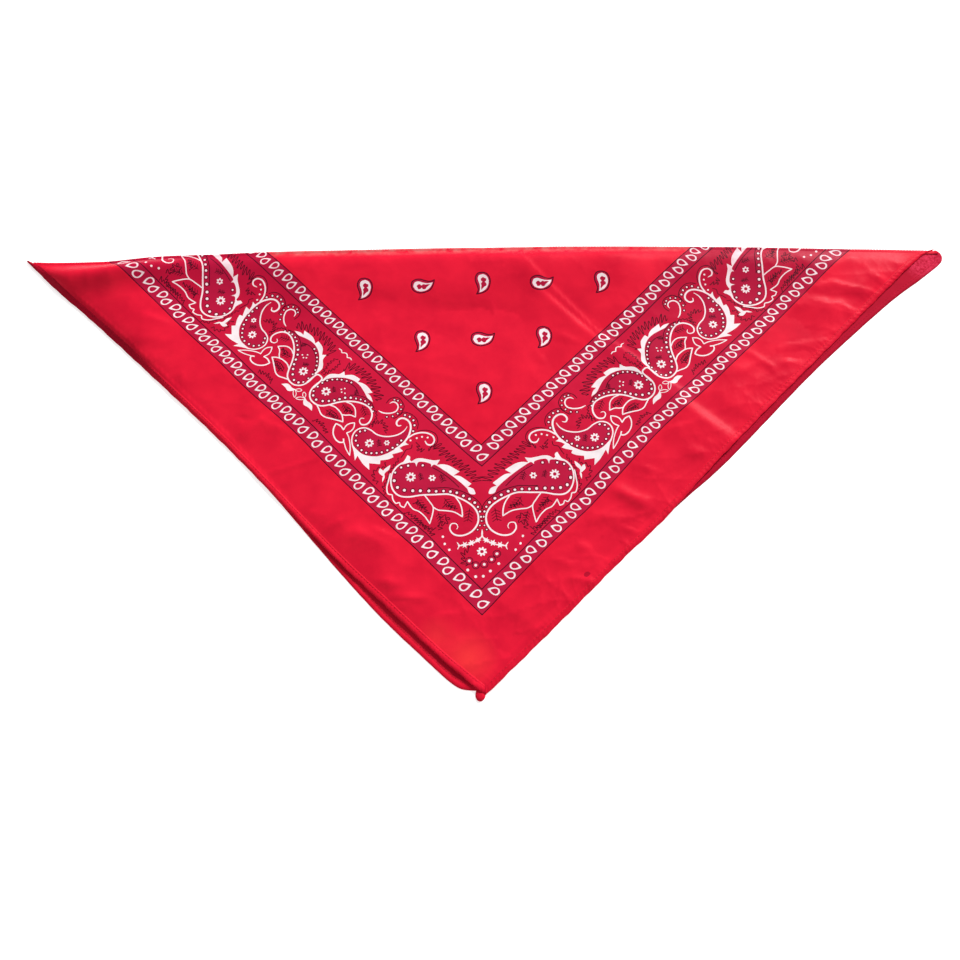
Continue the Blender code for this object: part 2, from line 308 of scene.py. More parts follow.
def crease(x, y, left, right, way):
    """A ridge or trough along a way that dies away to each side and beyond its ends."""
    total = np.zeros_like(x)
    for (x0, y0, h0), (x1, y1, h1) in zip(way, way[1:]):
        run_x, run_y = x1 - x0, y1 - y0
        length = math.hypot(run_x, run_y)
        along = ((x - x0) * run_x + (y - y0) * run_y) / length
        across = ((y - y0) * run_x - (x - x0) * run_y) / length
        part = np.clip(along / length, 0.0, 1.0)
        beyond = along - part * length
        width = np.where(across > 0.0, left, right)
        fade = np.exp(-((across / width) ** 2) - (2.0 * beyond / (left + right)) ** 2)
        rise = CREASE_GAIN * (h0 + (h1 - h0) * part) * fade
        total = np.where(np.abs(rise) > np.abs(total), rise, total)
    return total


def puckers(x, y):
    """Short crinkles that the hems' stitches draw into the cloth next to them."""
    total = np.zeros_like(x)
    for side, table, start, strength in PUCKERED_SIDES:
        along, inside = side_frame(side, table, x, y)
        beyond = np.maximum(inside - HEM, 0.0)
        fine = np.sin(along / 0.78 + 2.3 * np.sin(along / 9.0 + start))
        fine = fine * (0.5 + 0.5 * np.sin(along / 11.0 + start))
        broad = np.sin(along / 1.9 + 1.7 * np.sin(along / 23.0 + start))
        broad = broad * (0.6 + 0.4 * np.sin(along / 31.0))
        total += strength * (0.16 * np.exp(-beyond / 3.2) * fine + 0.12 * np.exp(-beyond / 8.0) * broad)
    return total


def crumple(x, y):
    """Crisp folds all over, strongest beside the right hem and faint in the middle."""
    _, in_left = side_frame(-1.0, FRONT_LEFT, x, y)
    _, in_right = side_frame(1.0, FRONT_RIGHT, x, y)
    amount = CRUMPLED_MIDDLE + CRUMPLED_RIGHT * fading(in_right, RIGHT_REACH)
    amount = amount + CRUMPLED_LEFT * fading(in_left, LEFT_REACH)
    amount = amount + CRUMPLED_LOW / (1.0 + np.exp((y - LOW_START) / LOW_SOFT))
    amount = amount + CRUMPLED_FOLD * fading(y, FOLD_REACH)
    amount = amount * (0.75 + 0.35 * np.sin(x / 37.0 + 0.6) * np.sin(y / 26.0 + 1.1))
    bent_x = x + 9.0 * np.sin(y / 23.0 + 1.0) + 5.0 * np.sin((x + y) / 13.0)
    bent_y = y + 8.0 * np.sin(x / 27.0 + 2.0) + 5.0 * np.sin((x - y) / 17.0 + 1.0)
    total = np.zeros_like(x)
    for ux, uy, spacing, height, start in CRUMPLES:
        wave = np.sin(math.pi * (ux * bent_x + uy * bent_y) / spacing + start)
        total += height * (1.0 - np.sqrt(wave * wave + 0.004)) ** 2
    return amount * total


def over_hem(x, y):
    """The upper half rises over the lower half's hems and drops again beyond them."""
    total = np.zeros_like(x)
    for side, table in ((-1.0, BACK_LEFT), (1.0, BACK_RIGHT)):
        _, inside = side_frame(side, table, x, y)
        climb = below(inside - HEM, 0.7, 0.6)
        drop = below(inside, -0.4, 0.5)
        total = np.maximum(total, 0.62 * climb) - 0.9 * drop
    return total


def relief(x, y):
    """How far the upper half stands above the lower one."""
    x, y = np.asarray(x, float), np.asarray(y, float)
    total = puckers(x, y) + crumple(x, y)
    for left, right, way in CREASES:
        total = total + crease(x, y, left, right, way)
    for ux, uy, length, height, start in WAVES:
        total = total + height * np.sin(math.tau * (ux * x + uy * y) / length + start)
    # The right hem, the left hem near its tip, and the fold hold the cloth down.
    _, in_right = side_frame(1.0, FRONT_RIGHT, x, y)
    total = total * (1.0 - 0.75 * np.exp(-np.maximum(in_right, 0.0) / 4.0))
    along, in_left = side_frame(-1.0, FRONT_LEFT, x, y)
    total = total * (1.0 - 0.9 * below(along, -95.0, 12.0) * fading(np.maximum(in_left, 0.0), 6.5))
    total = total * (1.0 - 0.75 * fading(np.maximum(fold_y(x) - y, 0.0), 8.5))
    return np.maximum(total, -0.1) + over_hem(x, y)


# ---------------------------------------------------------------- surfaces: flat cloth to place

def front_surface(x, y):
    return np.stack([x, y, FRONT_BASE + CLOTH + relief(x, y)], -1)


def turn_shape(x):
    """Half height, depth of the round part, and length along the cloth of the turn above x."""
    top = FRONT_BASE + CLOTH + relief(x, seam_y(x))
    half = (top - (BACK_TOP - CLOTH)) / 2.0
    deep = np.minimum(TURN - 1.0, half + 0.2)
    arc = math.pi * np.sqrt((half**2 + deep**2) / 2.0)
    return half, deep, arc


def turn_length(x):
    _, deep, arc = turn_shape(x)
    return 2.0 * (TURN - deep) + arc


def turn_surface(x, y):
    """Round the fold: y runs on from the seam over the turn to the lower half."""
    half, deep, arc = turn_shape(x)
    seam, run = seam_y(x), TURN - deep
    way = np.clip(y - seam, 0.0, 2.0 * run + arc)
    angle = math.pi / 2 - math.pi * np.clip((way - run) / arc, 0.0, 1.0)
    flat = np.minimum(way, run) - np.maximum(way - run - arc, 0.0)
    middle = BACK_TOP - CLOTH + half
    return np.stack([x, seam + flat + deep * np.cos(angle), middle + half * np.sin(angle)], -1)


def back_surface(x, y):
    """The lower half lies with its print down."""
    folded = 2.0 * seam_y(x) + turn_length(x) - y
    return np.stack([x, folded, BACK_TOP - CLOTH + 0.0 * x], -1)


def normals(surface, x, y, step=0.4):
    """The printed side's direction, from the surface next to each point."""
    along_x = surface(x + step, y) - surface(x - step, y)
    along_y = surface(x, y + step) - surface(x, y - step)
    cross = np.cross(along_x, along_y)
    return cross / np.maximum(np.linalg.norm(cross, axis=-1, keepdims=True), 1e-9)


# ---------------------------------------------------------------- the print, as inked shapes

PRINT_LINES = (242.2, 228.0, 155.8, 142.3)     # border lines, out from the print's centre
PRINT_CENTRE = (3.0, 19.6)                     # it is printed off the square's centre
PRINT_STRETCH = 0.0095                         # wider along one side, narrower along the other
# Places where the cloth is pulled out of square. Columns: x, y, reach, how far to +X, to +Y.
PULLS = (
    (-151, -161, 42, 1.4, 1.4),
    (146, -165, 42, -2.0, 2.0),
    (106, -150, 32, 2.6, 0.5),
    (28, -248, 26, 2.8, 0.5),
    (-290, -30, 26, 2.0, -1.6),
    (-243, -45, 24, 1.2, -1.4),
    (292, -38, 26, -0.6, -2.2),
    (134, -60, 32, -0.8, -2.2),
    (-225, -98, 26, 0.4, 1.1),
    (118, -168, 14, 1.6, 0.0),
    (140, -146, 14, 1.4, -1.4),
    (118, -118, 14, 0.6, 1.4),
    (-46, -89, 14, -0.7, -2.2),
    (82, -231, 20, -1.0, -2.2),
    (22, -205, 20, 1.0, 0.8),
    (20, -275, 18, 1.2, -1.0),
    (-45, -262, 16, 0.6, 1.4),
    (-215, -50, 60, 3.0, -3.6),
    (-98, -28, 42, 1.0, -3.4),
    (225, -40, 60, 0.4, -5.0),
    (150, -112, 45, 2.0, -1.6),
    (60, -206, 45, 3.2, 0.0),
    (-330, 4, 34, -5.0, 1.0),
    (330, 4, 36, 5.5, 0.0),
    (0, -322, 35, 1.0, -2.0),
)
LATTICE = 51.6                                 # spacing of the middle's small paisleys
LINE_WIDTH = 0.75                              # the border's dark lines
PEN = 0.64                                     # pen lines and scribbles
SPRIG_PEN = 0.5
BOTEH_PEN = 0.85
CORNER_DOT = 1.15                              # radius of the corner's dots
# Teardrop rows of two neighbouring sides. Columns: distance out, whether the row ends on an
# inward-pointing drop, and (drop, its place along the side) of some that point outwards.
DROP_ROWS = (
    (234.8, True, ((0, 214.4), (4, 144.7), (8, 75.4), (10, 39.8), (12, 8.7), (16, -53.9), (20, -119.9),
                   (24, -187.7), (26, -221.6))),
    (148.5, True, ((0, 129.1), (4, 63.7), (8, -0.6), (12, -65.6), (15, -117.7), (16, -134.6))),
)
NEXT_DROP_ROWS = (
    (234.8, False, ((0, 227.2), (4, 155.4), (8, 89), (12, 18.3), (16, -44.6), (20, -108.1), (24, -175.3),
                    (27, -226.7))),
    (148.5, False, ((0, 141.4), (4, 73.6), (8, 6.2), (12, -57.8), (17, -143.7))),
)

# An octant of the border is charted between the middle of a side and the corner's diagonal.
# Columns of every point: along the side from its middle, out from the print's centre.
BODIES = (
    [(5.5, 190), (4.6, 199), (6.5, 208), (12, 212), (19, 211), (24.5, 205), (28.5, 198),
     (33, 191), (40, 185.5), (50, 181.5), (50, 179), (42, 177.5), (31, 174.6), (20, 176),
     (11, 183)],
    [(87.5, 178), (86, 185), (80.5, 192), (71, 196), (63, 197.8), (60.2, 204), (61.5, 210),
     (68, 215), (78, 215.5), (87, 210), (93.5, 199), (94.8, 188), (94, 180), (91, 174.5)],
    [(108, 198), (107, 206), (111.5, 213.5), (120, 218.5), (128, 217.5), (136, 210),
     (147, 198), (156, 189), (163, 186), (170, 184.3), (170, 180), (160, 178),
     (146, 178), (131, 180), (118, 187), (112, 192.5)],
)
LEAFY_EDGES = (
    [(4, 193), (4, 186.5), (6, 183), (10.2, 179.2), (11.3, 174.3), (11.3, 174.3), (14.3, 176.6),
     (14.3, 176.6), (18.5, 172), (22.5, 170.6), (26.4, 170), (26.4, 170), (26.9, 173.2), (26.9, 173.2),
     (30.5, 171.3), (35, 170.4), (43.2, 171.3), (43.2, 171.3), (40.8, 174.7), (40.8, 174.7), (45, 174.9),
     (49.6, 177.2), (49.6, 177.2), (44, 177.7), (38, 175.9), (31, 174.3), (24, 174.7), (17.5, 177.4),
     (12, 182), (8, 186.6), (6, 190.5), (5, 195.5)],
    [(5.6, 214.8), (9, 215.9), (13, 215.4), (16, 216.2), (18.8, 219.4), (18.8, 219.4), (14, 219.4),
     (9.8, 220.3), (6.8, 217.8)],
    [(94.3, 181), (96, 183.4), (99.4, 183), (99.4, 183), (97.2, 186.2), (96, 190.2), (96, 190.2),
     (100.2, 190.3), (100.2, 190.3), (98.4, 194), (95.8, 198.4), (95.8, 198.4), (98.4, 199.4), (98.4, 199.4),
     (96.8, 203.6), (92.8, 208.9), (92.8, 208.9), (95, 211.4), (95, 211.4), (91.5, 214.2), (88, 217),
     (88, 217), (92.4, 220.9), (92.4, 220.9), (85, 221), (76.2, 219.2), (76.2, 219.2), (77.8, 223.6),
     (77.8, 223.6), (71.5, 219.2), (64.5, 215.3), (64.5, 215.3), (70, 215.9), (77, 215.6), (83, 212.9),
     (88.6, 207.8), (92.2, 201), (94.2, 193.5), (94.8, 187)],
    [(101.6, 205.8), (103.7, 209.5), (103.5, 214), (104.8, 216), (103, 217.2), (101.4, 215),
     (100.8, 210.5)],
    [(97.6, 213.9), (100.6, 213.6), (103.6, 216.4), (101, 217.3), (99, 216.6)],
    [(104, 215.2), (106, 216.4), (107.9, 220.9), (107.9, 220.9), (105.2, 218.2)],
    [(105.4, 190.2), (108.2, 189.8), (110, 191.9), (112, 191.8), (110.4, 195.2), (108.4, 198.5),
     (107.2, 199.5), (107, 195.2)],
    [(111.6, 193.5), (112.6, 188), (115.5, 184.2), (120.5, 180.9), (124.5, 178.2), (127.4, 174.6),
     (127.4, 174.6), (128.8, 179.6), (128.8, 179.6), (132, 175.8), (137, 173), (146.4, 171),
     (146.4, 171), (145.4, 176.7), (145.4, 176.7), (149, 173.8), (154, 172.8), (160.8, 172.2),
     (160.8, 172.2), (160.6, 175.9), (160.6, 175.9), (165, 174.3), (169.2, 176.2), (167.6, 178.4),
     (165, 179), (161, 177.4), (152, 177.2), (141, 178.2), (131.5, 179.6), (127, 180.9),
     (126.7, 184), (126.7, 184), (124.6, 182.4), (119.5, 184.8), (116.2, 188.3), (117.9, 192.2),
     (117.9, 192.2), (114.6, 190.7)],
)
# Brushed white lines. Columns: width, which ends thin out, points.
BRUSH_LINES = (
    (1.3, "end", [(0, 191.6), (2.3, 192), (3.6, 194.5), (3.4, 203), (5.4, 208.9), (10, 212.6),
                  (16, 212.9), (21, 210.6), (25, 205.2), (28, 199.4), (32.2, 193.4), (38.5, 187.6),
                  (45, 184), (52, 182.8), (57.5, 185.4), (60.6, 190.5), (60.6, 195), (57.6, 197.9),
                  (54.2, 196.8), (53.4, 194.2), (55.6, 192.6)]),
    (1.3, "end", [(3.6, 194.5), (3.9, 199), (4, 204)]),
    (1, "none", [(33.2, 193), (38, 191.2), (43.5, 192), (49.2, 196.9), (49.2, 196.9), (45, 198.5),
                    (42, 201.6), (39.2, 203.6)]),
    (1.1, "none", [(25.5, 204.9), (30, 202.9), (35.5, 202.8), (40.5, 204.1), (44.8, 207.4), (44.8, 207.4),
                   (40.5, 209.6), (35.5, 212.6), (31, 215.2), (26.5, 215.8), (21.5, 213.9), (18, 212.6)]),
    (0.62, "none", [(5.8, 215.6), (4.2, 212.4), (1.2, 212), (2.6, 214.8), (5.8, 215.6), (5.8, 215.6),
                   (2.4, 217.4), (0.6, 220.8), (3.8, 219.6), (6.4, 217)]),
    (0.88, "end", [(0, 161.3), (1.9, 162.2), (3.4, 163.6), (5.4, 162.2), (8.2, 162.7)]),
    (1.1, "both", [(58.8, 179.3), (63, 178), (67.4, 174.4), (69.8, 169.6), (68.3, 165.6), (64.8, 164.1),
                   (61.8, 165.4), (60.9, 168.2)]),
    (0.97, "none", [(50.6, 211.8), (49.3, 207.8), (50.2, 204), (52.5, 200.9), (52.5, 200.9), (55.2, 204.2),
                   (55.8, 208), (54.6, 211.8)]),
    (1.2, "none", [(50.8, 211.8), (46, 211.2), (41.9, 212.6), (41.9, 212.6), (43.4, 216.6), (47, 220.4),
                   (52, 222.3), (56.4, 221.8), (58.6, 219.2), (56.4, 217.2)]),
    (0.88, "none", [(54.2, 211.8), (58.5, 213.2), (64, 216.6), (68, 220), (71.4, 223.6), (71.4, 223.6),
                   (65, 221.9), (61, 220), (58, 218.6)]),
    (1.1, "start", [(86.6, 172.6), (87.6, 178), (85.8, 184.6), (80.6, 191.2), (74, 195), (67, 195.9),
                     (61.8, 198.2), (58.9, 203), (59.2, 208.4), (62.6, 213.4), (68, 216.8)]),
    (1.5, "start", [(82.4, 175.3), (80.6, 177.6), (77.6, 176.2), (77, 172.2), (79.6, 169.2), (84.5, 168.5),
                    (89, 170.8), (92.6, 175.6), (94.6, 181), (95.2, 187), (94.4, 194)]),
    (1.3, "end", [(94.6, 179), (95.8, 173.4), (98.8, 168.6), (103.2, 165.2), (108.2, 164), (112.2, 166.2),
                  (112.9, 170), (110.2, 172.3), (106.4, 171.4)]),
    (1.3, "end", [(110.6, 193), (107.4, 198), (106.6, 204.6), (109, 211.6), (114.4, 217.2), (121, 219.9),
                  (127.2, 219), (133, 214.2), (138.6, 206.8), (146, 199.2), (154, 191.2), (161, 188),
                  (168.5, 185.8), (176, 185.2), (183, 187.4), (188.2, 193), (189.8, 200.4), (187.4, 207.6),
                  (182, 212), (176.4, 211.4), (173.9, 207.4), (176.6, 204.6), (179.6, 205.8), (180, 207.6)]),
    (1, "none", [(160, 188.9), (166, 190.2), (171, 192.8), (175.9, 197), (175.9, 197),
                    (168.6, 198.6), (163, 202.2), (158, 206.2), (153.2, 207.4)]),
    (1, "none", [(141, 205), (147.5, 206), (153.2, 207.4), (157, 211.8), (161.6, 219.8),
                    (161.6, 219.8), (155, 218), (148, 217.9), (142, 219.7), (134.6, 218.2),
                    (134.6, 218.2), (136.6, 223.6), (136.6, 223.6), (133.4, 224.7), (130.6, 223.4),
                    (129, 225.9), (124.6, 225), (121.6, 223), (118.6, 224.6), (114, 221.6),
                    (110.6, 216.6), (107, 211)]),
    (0.97, "start", [(194.2, 194.2), (197.6, 197.6), (198.3, 202), (196.6, 208), (193.6, 212.8),
                    (190.6, 216.4)]),
    (0.79, "end", [(191.4, 215.6), (188, 215)]),
    (0.79, "end", [(191.4, 215.6), (192.4, 218.8)]),
)
# White dots. Columns: radius, width of the dark ring round each, places.
DOT_ROWS = (
    (0.77, 0.5, [(23.3, 177.4), (19.4, 179.1), (15.5, 181.4), (12.6, 183.9), (9.9, 186.9), (7.4, 190.6),
                  (6, 195), (5.8, 200.2), (6.4, 205.6), (37.1, 184.9), (40.6, 182.7), (44.4, 181.1),
                  (48.6, 180.9), (52.3, 181.3), (55.9, 183.1)]),
    (1.03, 0.5, [(9.1, 208.7), (13.8, 209.6), (18.7, 206.6), (22.4, 202.8), (25.3, 199.2), (27.6, 195.1),
                  (30, 190.9), (33.4, 187.5)]),
    (0.68, 0, [(22, 187.8), (23.5, 185.2), (24.1, 189.4), (26.8, 188.2)]),
    (0.63, 0.5, [(61.2, 163.1), (64, 161.7), (68.4, 162.4), (71.6, 165.4), (72.4, 170), (71.2, 174.6),
                (68, 178.3)]),
    (0.85, 0.5, [(92.3, 184.8), (92.8, 189.6), (92, 194.3), (90.4, 198.8), (88.4, 203.2), (85.8, 206.6),
                  (82.8, 209.7), (79.4, 212.4), (74.9, 213.5), (69.6, 212.8), (65.2, 211.1), (62.1, 207.6),
                  (61.6, 203.1), (64, 199.5)]),
    (0.85, 0.5, [(77.8, 166.7), (81.7, 165), (86.3, 165.2), (90.2, 167.7), (93.2, 172.1)]),
    (0.85, 0, [(106, 167.8), (102.2, 170.6), (99.9, 174.4), (97.7, 179.4)]),
    (0.9, 0.5, [(112.5, 196.3), (109.5, 201.3), (109.2, 207.8), (120.8, 187.8)]),
    (1.26, 0.5, [(113.8, 213.2), (120, 215.4), (125.8, 213.2), (131, 208.8), (135.5, 204.6),
                 (140.6, 199.9)]),
    (1.08, 0.5, [(145.1, 196.1), (149.3, 191.9), (153.6, 188.4), (158, 185.6), (163.7, 183.9),
                 (169, 182.5), (174.2, 182)]),
    (0.81, 0.5, [(178.5, 182.9), (182.3, 184.7), (186, 187.3)]),
    (0.54, 0.45, [(188.8, 189.4), (190.6, 193), (191.9, 196.6)]),
    (1.03, 0, [(176.9, 220), (182.2, 223), (188.2, 223.7)]),
)
# The corner's own dots, an inner and an outer round; not mirrored.
CORNER_DOTS = (
    [(215.8, 200.3), (216.5, 206.2), (215.5, 212.8), (211.5, 217.9), (205.5, 218.9)],
    [(222.6, 204.7), (222.6, 213.2), (221.7, 219.9), (217.8, 224.3), (209.8, 224.9)],
)
# The corner's drops where two rows meet, as place and lean, its pen scribble and its flower.
CORNER_DROPS = (((237, 235.2), (2.8, -5)), ((150.6, 149.2), (2.2, -4.6)))
CORNER_SCRIBBLE = ([(199, 211.5), (198, 217), (201.6, 222), (206.6, 223.6)], 1.9, 3.4)
CORNER_FLOWER = ((206.9, 206.9), 3.9, 8)
# Columns: place, radius, petals.
FLOWERS = (
    (14.2, 198.4, 4.2, 8), (75, 204.7, 3.9, 8), (85.3, 194.5, 2.5, 6), (121.2, 201.7, 4.3, 9),
    (134.4, 190.2, 3, 6),
)
STARS = ((198.2, 202.4, 2.6), (196.4, 207.4, 2.9), (193.8, 212.2, 2.9))
# Pen scribbles. Columns: swing to each side, spacing of the swings, points.
SCRIBBLES = (
    (3.5, 3.6, [(8.5, 171), (13, 166.5), (22, 164.5), (34, 164.8), (44, 167.6), (53, 172.6)]),
    (1.1, 3.2, [(2.2, 170), (3.6, 177), (2, 184), (1, 189)]),
    (1.5, 2.6, [(29.5, 212), (33, 210), (37, 209.4), (41, 208)]),
    (1.3, 2.4, [(38, 199.6), (41, 197), (45, 196)]),
    (1.5, 2.6, [(139, 214.8), (144, 213), (149, 212.8), (154, 214.6)]),
    (1.3, 2.4, [(158, 200.8), (162, 197.4), (168, 195.6)]),
    (1.6, 2.8, [(26, 223.4), (33, 221.6), (38, 222.6), (43, 224.4)]),
    (1.6, 2.8, [(148, 225), (156, 225), (164, 224.6), (171, 225.2)]),
    (3.5, 3.6, [(112.5, 171.5), (117, 167.6), (126, 168), (138, 166.8), (150, 166), (163.5, 166.8)]),
    (1.6, 2.8, [(104, 176.5), (108, 180.5), (112, 178)]),
    (1.8, 3, [(64, 192), (66, 186.5), (70, 184.2), (75, 186), (77.5, 189)]),
    (1.3, 4, [(98.4, 207), (99.4, 211), (96.6, 216), (97, 221), (101.5, 223.6), (106.5, 224.2)]),
    (0.9, 3.4, [(102.8, 197), (104, 203), (105.6, 210), (109.6, 217), (112, 223.6), (118, 226.4)]),
    (1.3, 3, [(140, 225.6), (150, 223.6), (161, 224.2), (168, 220.4)]),
    (1.6, 3.6, [(163, 208), (168, 205.6), (170.4, 210.6), (167, 215), (172, 217)]),
    (0.8, 3, [(56, 180.6), (61.5, 184), (63.8, 190), (63, 195)]),
)
PEN_LINES = (
    [(6.6, 193), (8.4, 189.4), (13, 184.6), (18.6, 180.6), (25, 178.4), (31, 178.6), (36, 180.8)],
    [(31, 186.4), (36, 182), (42, 179), (49, 178.6), (55, 180.4)],
    [(58.6, 170), (58, 165.6), (60.2, 160.9), (63.8, 159.5), (67.6, 160), (71.6, 161.8), (73.8, 166),
     (74.4, 171), (73.2, 175.8)],
    [(74.8, 170), (75, 165.8), (78.6, 163.4), (82.4, 162.4), (87.4, 162.6), (91.6, 164.8), (94.4, 168.6)],
    [(96.2, 169.4), (99.4, 165), (103.6, 162.2), (109, 161.2), (113.8, 163.8), (115.4, 168.6),
     (113.6, 173)],
    [(101.2, 181), (103.2, 184), (101.2, 187.6), (102.4, 191.6), (103.2, 195.6)],
    [(128, 183.6), (136, 181.8), (146, 180.8), (156, 181)],
    [(138, 199), (143, 194.2), (148.4, 188.6), (153.4, 185.2), (160, 182), (168, 179.8),
     (176, 179.4), (183, 181.8)],
    [(28.6, 207.8), (33.6, 206.6), (39, 207.2)],
    [(36, 196.6), (40, 195), (44.6, 196.6)],
)
# Dark feather marks. Columns: place, size, angle.
SPRIGS = (
    (17.4, 192.2, 2.1, 0.6), (33, 180.9, 2, 0.9), (50.2, 187.6, 3.6, 0.35), (36.8, 197.2, 3.4, 0.2),
    (31, 209.4, 3.6, -0.2), (80.4, 198.8, 2.4, 0.6), (126.4, 195.4, 2.4, 0.5), (140, 184.4, 2.8, 0.4),
    (159.4, 196.4, 4, 0.1), (143.4, 212.4, 4, 0.2), (178.4, 192.4, 4.2, 0.9), (163.4, 210, 3.5, 0.5),
)
BOTEH_SCALE = 0.92
# The middle's small paisley, upright, from its own centre: outline, white body and heart.
BOTEH_LINE = [
    (1.4, 12.6), (5.8, 10.8), (8.4, 6.2), (8.4, 1), (6.4, -4.4), (2.2, -7.6), (-4.4, -9.3), (-4.4, -9.3),
    (-2.8, -5.4), (-3.6, -1), (-5.2, 3.6), (-5.2, 8), (-2.8, 11.8), (1.4, 12.6),
]
BOTEH = [
    (2, 10.7), (5.6, 8.4), (7.2, 3.2), (5.6, -2.4), (2.4, -5.8), (-1.6, -7.6), (-1.6, -7.6), (-0.9, -2.8),
    (-1.6, 1.2), (-3, 5.8), (-2, 9.4),
]
BOTEH_HEART = [
    (1.9, 7.6), (3.4, 6.6), (4.9, 6), (4.6, 3.8), (3.4, 2.9), (4.9, 1.6), (5, -0.6), (3.4, -1.6),
    (2, -3), (0.2, -5.2), (0.2, -5.2), (0, -2.6), (0.4, -0.8), (-0.2, 1.2), (1.2, 3), (-0.2, 4.4),
    (0.2, 6.4),
]


class Print:
    """Collects polygons, each with its ink; later ones lie on top."""

    def __init__(self):
        self.shapes = []

    def fill(self, ink, points):
        self.shapes.append((ink, points))

    def blob(self, ink, points):
        self.fill(ink, smooth(points + [points[0]])[:-1])

    def stroke(self, ink, points, width, thin=0.4, ends="none"):
        """A brushed line that thins out at the named ends."""
        line = smooth(points)
        lengths = [0.0]
        for a, b in zip(line, line[1:]):
            lengths.append(lengths[-1] + math.dist(a, b))
        sides = []
        for i, (x, y) in enumerate(line):
            (ax, ay), (bx, by) = line[max(i - 1, 0)], line[min(i + 1, len(line) - 1)]
            size = math.hypot(bx - ax, by - ay) or 1.0
            share = lengths[i] / lengths[-1]
            swell = 1.0
            if ends in ("both", "start"):
                swell = min(swell, thin + share / 0.18)
            if ends in ("both", "end"):
                swell = min(swell, thin + (1.0 - share) / 0.18)
            half = 0.5 * width * swell / size
            sides.append((
                (x - (by - ay) * half, y + (bx - ax) * half),
                (x + (by - ay) * half, y - (bx - ax) * half),
            ))
        for start, end in zip(sides, sides[1:]):
            self.fill(ink, hull([*start, *end]))

    def dots(self, places, radius, edge, gap=0.35):
        """White dots, each with a dark ring round it."""
        for place in places:
            if edge:
                self.fill("black", ring(place, radius + gap + edge, 10))
                self.fill("deep", ring(place, radius + gap, 10))
            self.fill("white", ring(place, radius, 8, 0.4))

    def flower(self, centre, radius, petals, heart=0.36):
        points = []
        for i in range(petals * 4):
            angle = math.tau * i / (petals * 4) + 0.2
            reach = radius * (1.0, 0.88, 0.58, 0.88)[i % 4]
            points.append((centre[0] + reach * math.cos(angle), centre[1] + reach * math.sin(angle)))
        self.fill("white", points)
        self.fill("deep", ring(centre, radius * heart, 8))

    def star(self, centre, radius, points=6):
        outline = []
        for i in range(2 * points):
            reach = radius * (1.0 if i % 2 == 0 else 0.45)
            angle = math.pi * i / points + 0.3
            outline.append((centre[0] + reach * math.cos(angle), centre[1] + reach * math.sin(angle)))
        self.fill("white", outline)

    def scribble(self, points, reach, pitch, lean=0.5):
        """A pen line that swings to both sides of its way in leaning loops."""
        line = smooth(points, 0.5)
        total, way = 0.0, []
        for (ax, ay), (bx, by) in zip(line, line[1:]):
            size = math.dist((ax, ay), (bx, by)) or 1.0
            total += size
            tx, ty = (bx - ax) / size, (by - ay) / size
            across = reach * math.sin(math.tau * total / pitch) * (1.0 + 0.35 * math.sin(total * 0.9 + 0.7))
            way.append((bx - ty * across - tx * lean * across, by + tx * across - ty * lean * across))
        self.stroke("black", way, PEN)

    def sprig(self, centre, size, angle):
        """A small dark feather: a spine with barbs."""
        c, s = math.cos(angle), math.sin(angle)
        strokes = [((-1.3, 0.0), (1.3, 0.1))]
        for x in (-0.9, -0.3, 0.3, 0.9):
            strokes.append(((x, 0.0), (x + 0.5, 0.8)))
            strokes.append(((x, 0.0), (x + 0.5, -0.75)))
        for stroke in strokes:
            turned = [(x * c - y * s, x * s + y * c) for x, y in stroke]
            ends = [(centre[0] + size * x, centre[1] + size * y) for x, y in turned]
            self.stroke("black", ends, SPRIG_PEN, 0.5)

    def drop(self, centre, lean, length=10.2, width=6.4, line=0.98):
        """An outlined teardrop whose tip points along lean."""
        size = math.hypot(*lean)
        ux, uy = lean[0] / size, lean[1] / size
        sizes = (("white", length, width, 0.0), ("deep", length - 3.8, width - 2.0 * line, -0.5))
        for ink, long, wide, shift in sizes:
            outline = []
            for i in range(18):
                t = math.tau * i / 18
                a = 0.5 * long * math.cos(t) + shift
                b = 0.62 * wide * math.sin(t) * abs(math.sin(t / 2.0)) ** 0.9
                outline.append((centre[0] + a * ux - b * uy, centre[1] + a * uy + b * ux))
            self.fill(ink, outline)

    def drop_row(self, distance, ends_inwards, places):
        """Teardrops beside each other that point out and in by turns."""
        drops, along = zip(*places)
        outwards = np.interp(np.arange(drops[-1] + 1), drops, along).tolist()
        inwards_too = [b + 0.46 * (a - b) for a, b in zip(outwards, outwards[1:])]
        if ends_inwards:
            inwards_too.append(outwards[0] + 0.46 * (outwards[0] - outwards[1]))
        for place in outwards:
            self.drop((distance - 0.75, place), (4.4, -2.2))
        for place in inwards_too:
            self.drop((distance + 0.75, place), (-4.4, 2.2))

    def boteh(self, x, y, upright):
        """The middle's small paisley; every second one lies on its side."""
        def turn(q):
            across, up = BOTEH_SCALE * q[0], BOTEH_SCALE * q[1]
            return (x + across, y - 0.7 + up) if upright else (x + 2.5 - up, y + 1.5 - across)

        self.blob("deep", [turn(q) for q in BOTEH_LINE[:-1]])
        self.stroke("black", [turn(q) for q in BOTEH_LINE], BOTEH_PEN)
        self.blob("white", [turn(q) for q in BOTEH])
        self.blob("deep", [turn(q) for q in BOTEH_HEART])


